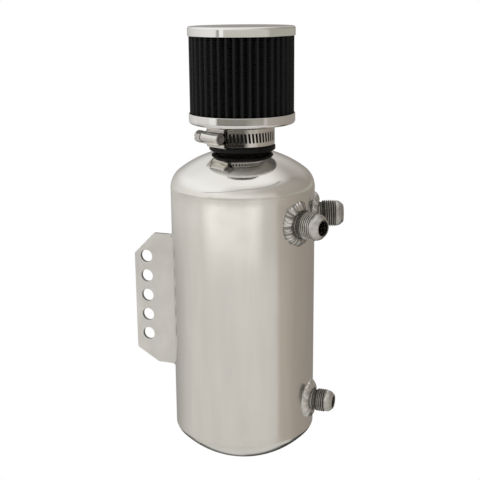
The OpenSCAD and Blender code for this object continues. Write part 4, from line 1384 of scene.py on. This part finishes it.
def white_to_camera(graph, shader, white, output):
    """Shows plain white to the camera, and the shader to every other ray."""
    seen = graph.add("ShaderNodeLightPath").outputs["Is Camera Ray"]
    plain = graph.add(white, {"Color": (1, 1, 1), "Strength": 1.0}).outputs[0]
    mixed = graph.add("ShaderNodeMixShader", {0: seen, 1: shader.outputs[0], 2: plain})
    graph.add(output, {0: mixed.outputs[0]})


room = sky.add("ShaderNodeBackground", {"Color": walls, "Strength": 1.0})
white_to_camera(sky, room, "ShaderNodeBackground", "ShaderNodeOutputWorld")

# %% Lay the floor
FLOOR_DROP = 12 * MM
FLOOR_REACH = 3.0
floor_z = cad_low.z - FLOOR_DROP
floor_mesh = bpy.data.meshes.new("floor")
square = [(-1, -1), (1, -1), (1, 1), (-1, 1)]
corners = [(x * FLOOR_REACH, y * FLOOR_REACH, floor_z) for x, y in square]
floor_mesh.from_pydata(corners, [], [(0, 1, 2, 3)])
floor = bpy.data.objects.new("floor", floor_mesh)
scene.collection.objects.link(floor)
pale = bpy.data.materials.new("pale_floor")
pale.use_nodes = True
paint = Graph(pale.node_tree)
paint.tree.nodes.clear()
dull = paint.add("ShaderNodeBsdfDiffuse", {"Color": (0.8, 0.8, 0.8)})
white_to_camera(paint, dull, "ShaderNodeEmission", "ShaderNodeOutputMaterial")
floor_mesh.materials.append(pale)
floor.visible_glossy = False

# %% Hang the lamp and set the camera
LAMP_SIZE, LAMP_POWER, LAMP_AWAY = 0.7, 9, 0.9
middle = Vector((AXIS_X, 0, 0.06))
lamp_offset = view_back * LAMP_AWAY - view_right * LAMP_AWAY + np.array([0, 0, LAMP_AWAY])
light = bpy.data.lights.new("key", "AREA")
light.shape, light.size, light.energy = "DISK", LAMP_SIZE, LAMP_POWER
lamp = bpy.data.objects.new("key", light)
scene.collection.objects.link(lamp)
lamp.location = middle + Vector(lamp_offset)
lamp.rotation_euler = (middle - lamp.location).to_track_quat("-Z", "Y").to_euler()
lamp.visible_glossy = False

# Distances, angles and lens were solved from the outline of the can in the photograph.
DISTANCE, CAMERA_Z = 781.32 * MM, 256.9 * MM
TILT, ROLL = math.radians(14.309), math.radians(0.506)
SENSOR, LENS, SHIFT_X = 36, 71.54, -0.0066
camera = bpy.data.cameras.new("camera")
camera.sensor_width, camera.lens, camera.shift_x = SENSOR, LENS, SHIFT_X
camera.clip_start = 0.05
ahead = np.append(-view_back[:2] * math.cos(TILT), -math.sin(TILT))
level_up = np.cross(view_right, ahead)
right = view_right * math.cos(ROLL) - level_up * math.sin(ROLL)
upward = level_up * math.cos(ROLL) + view_right * math.sin(ROLL)
spot = np.array([AXIS_X, 0, 0]) + view_back * DISTANCE + np.array([0, 0, CAMERA_Z])
holder = bpy.data.objects.new("camera", camera)
scene.collection.objects.link(holder)
holder.matrix_world = Matrix([
    (right[k], upward[k], -ahead[k], spot[k]) for k in range(3)] + [(0, 0, 0, 1)])
scene.camera = holder
scene.view_settings.view_transform = "Standard"
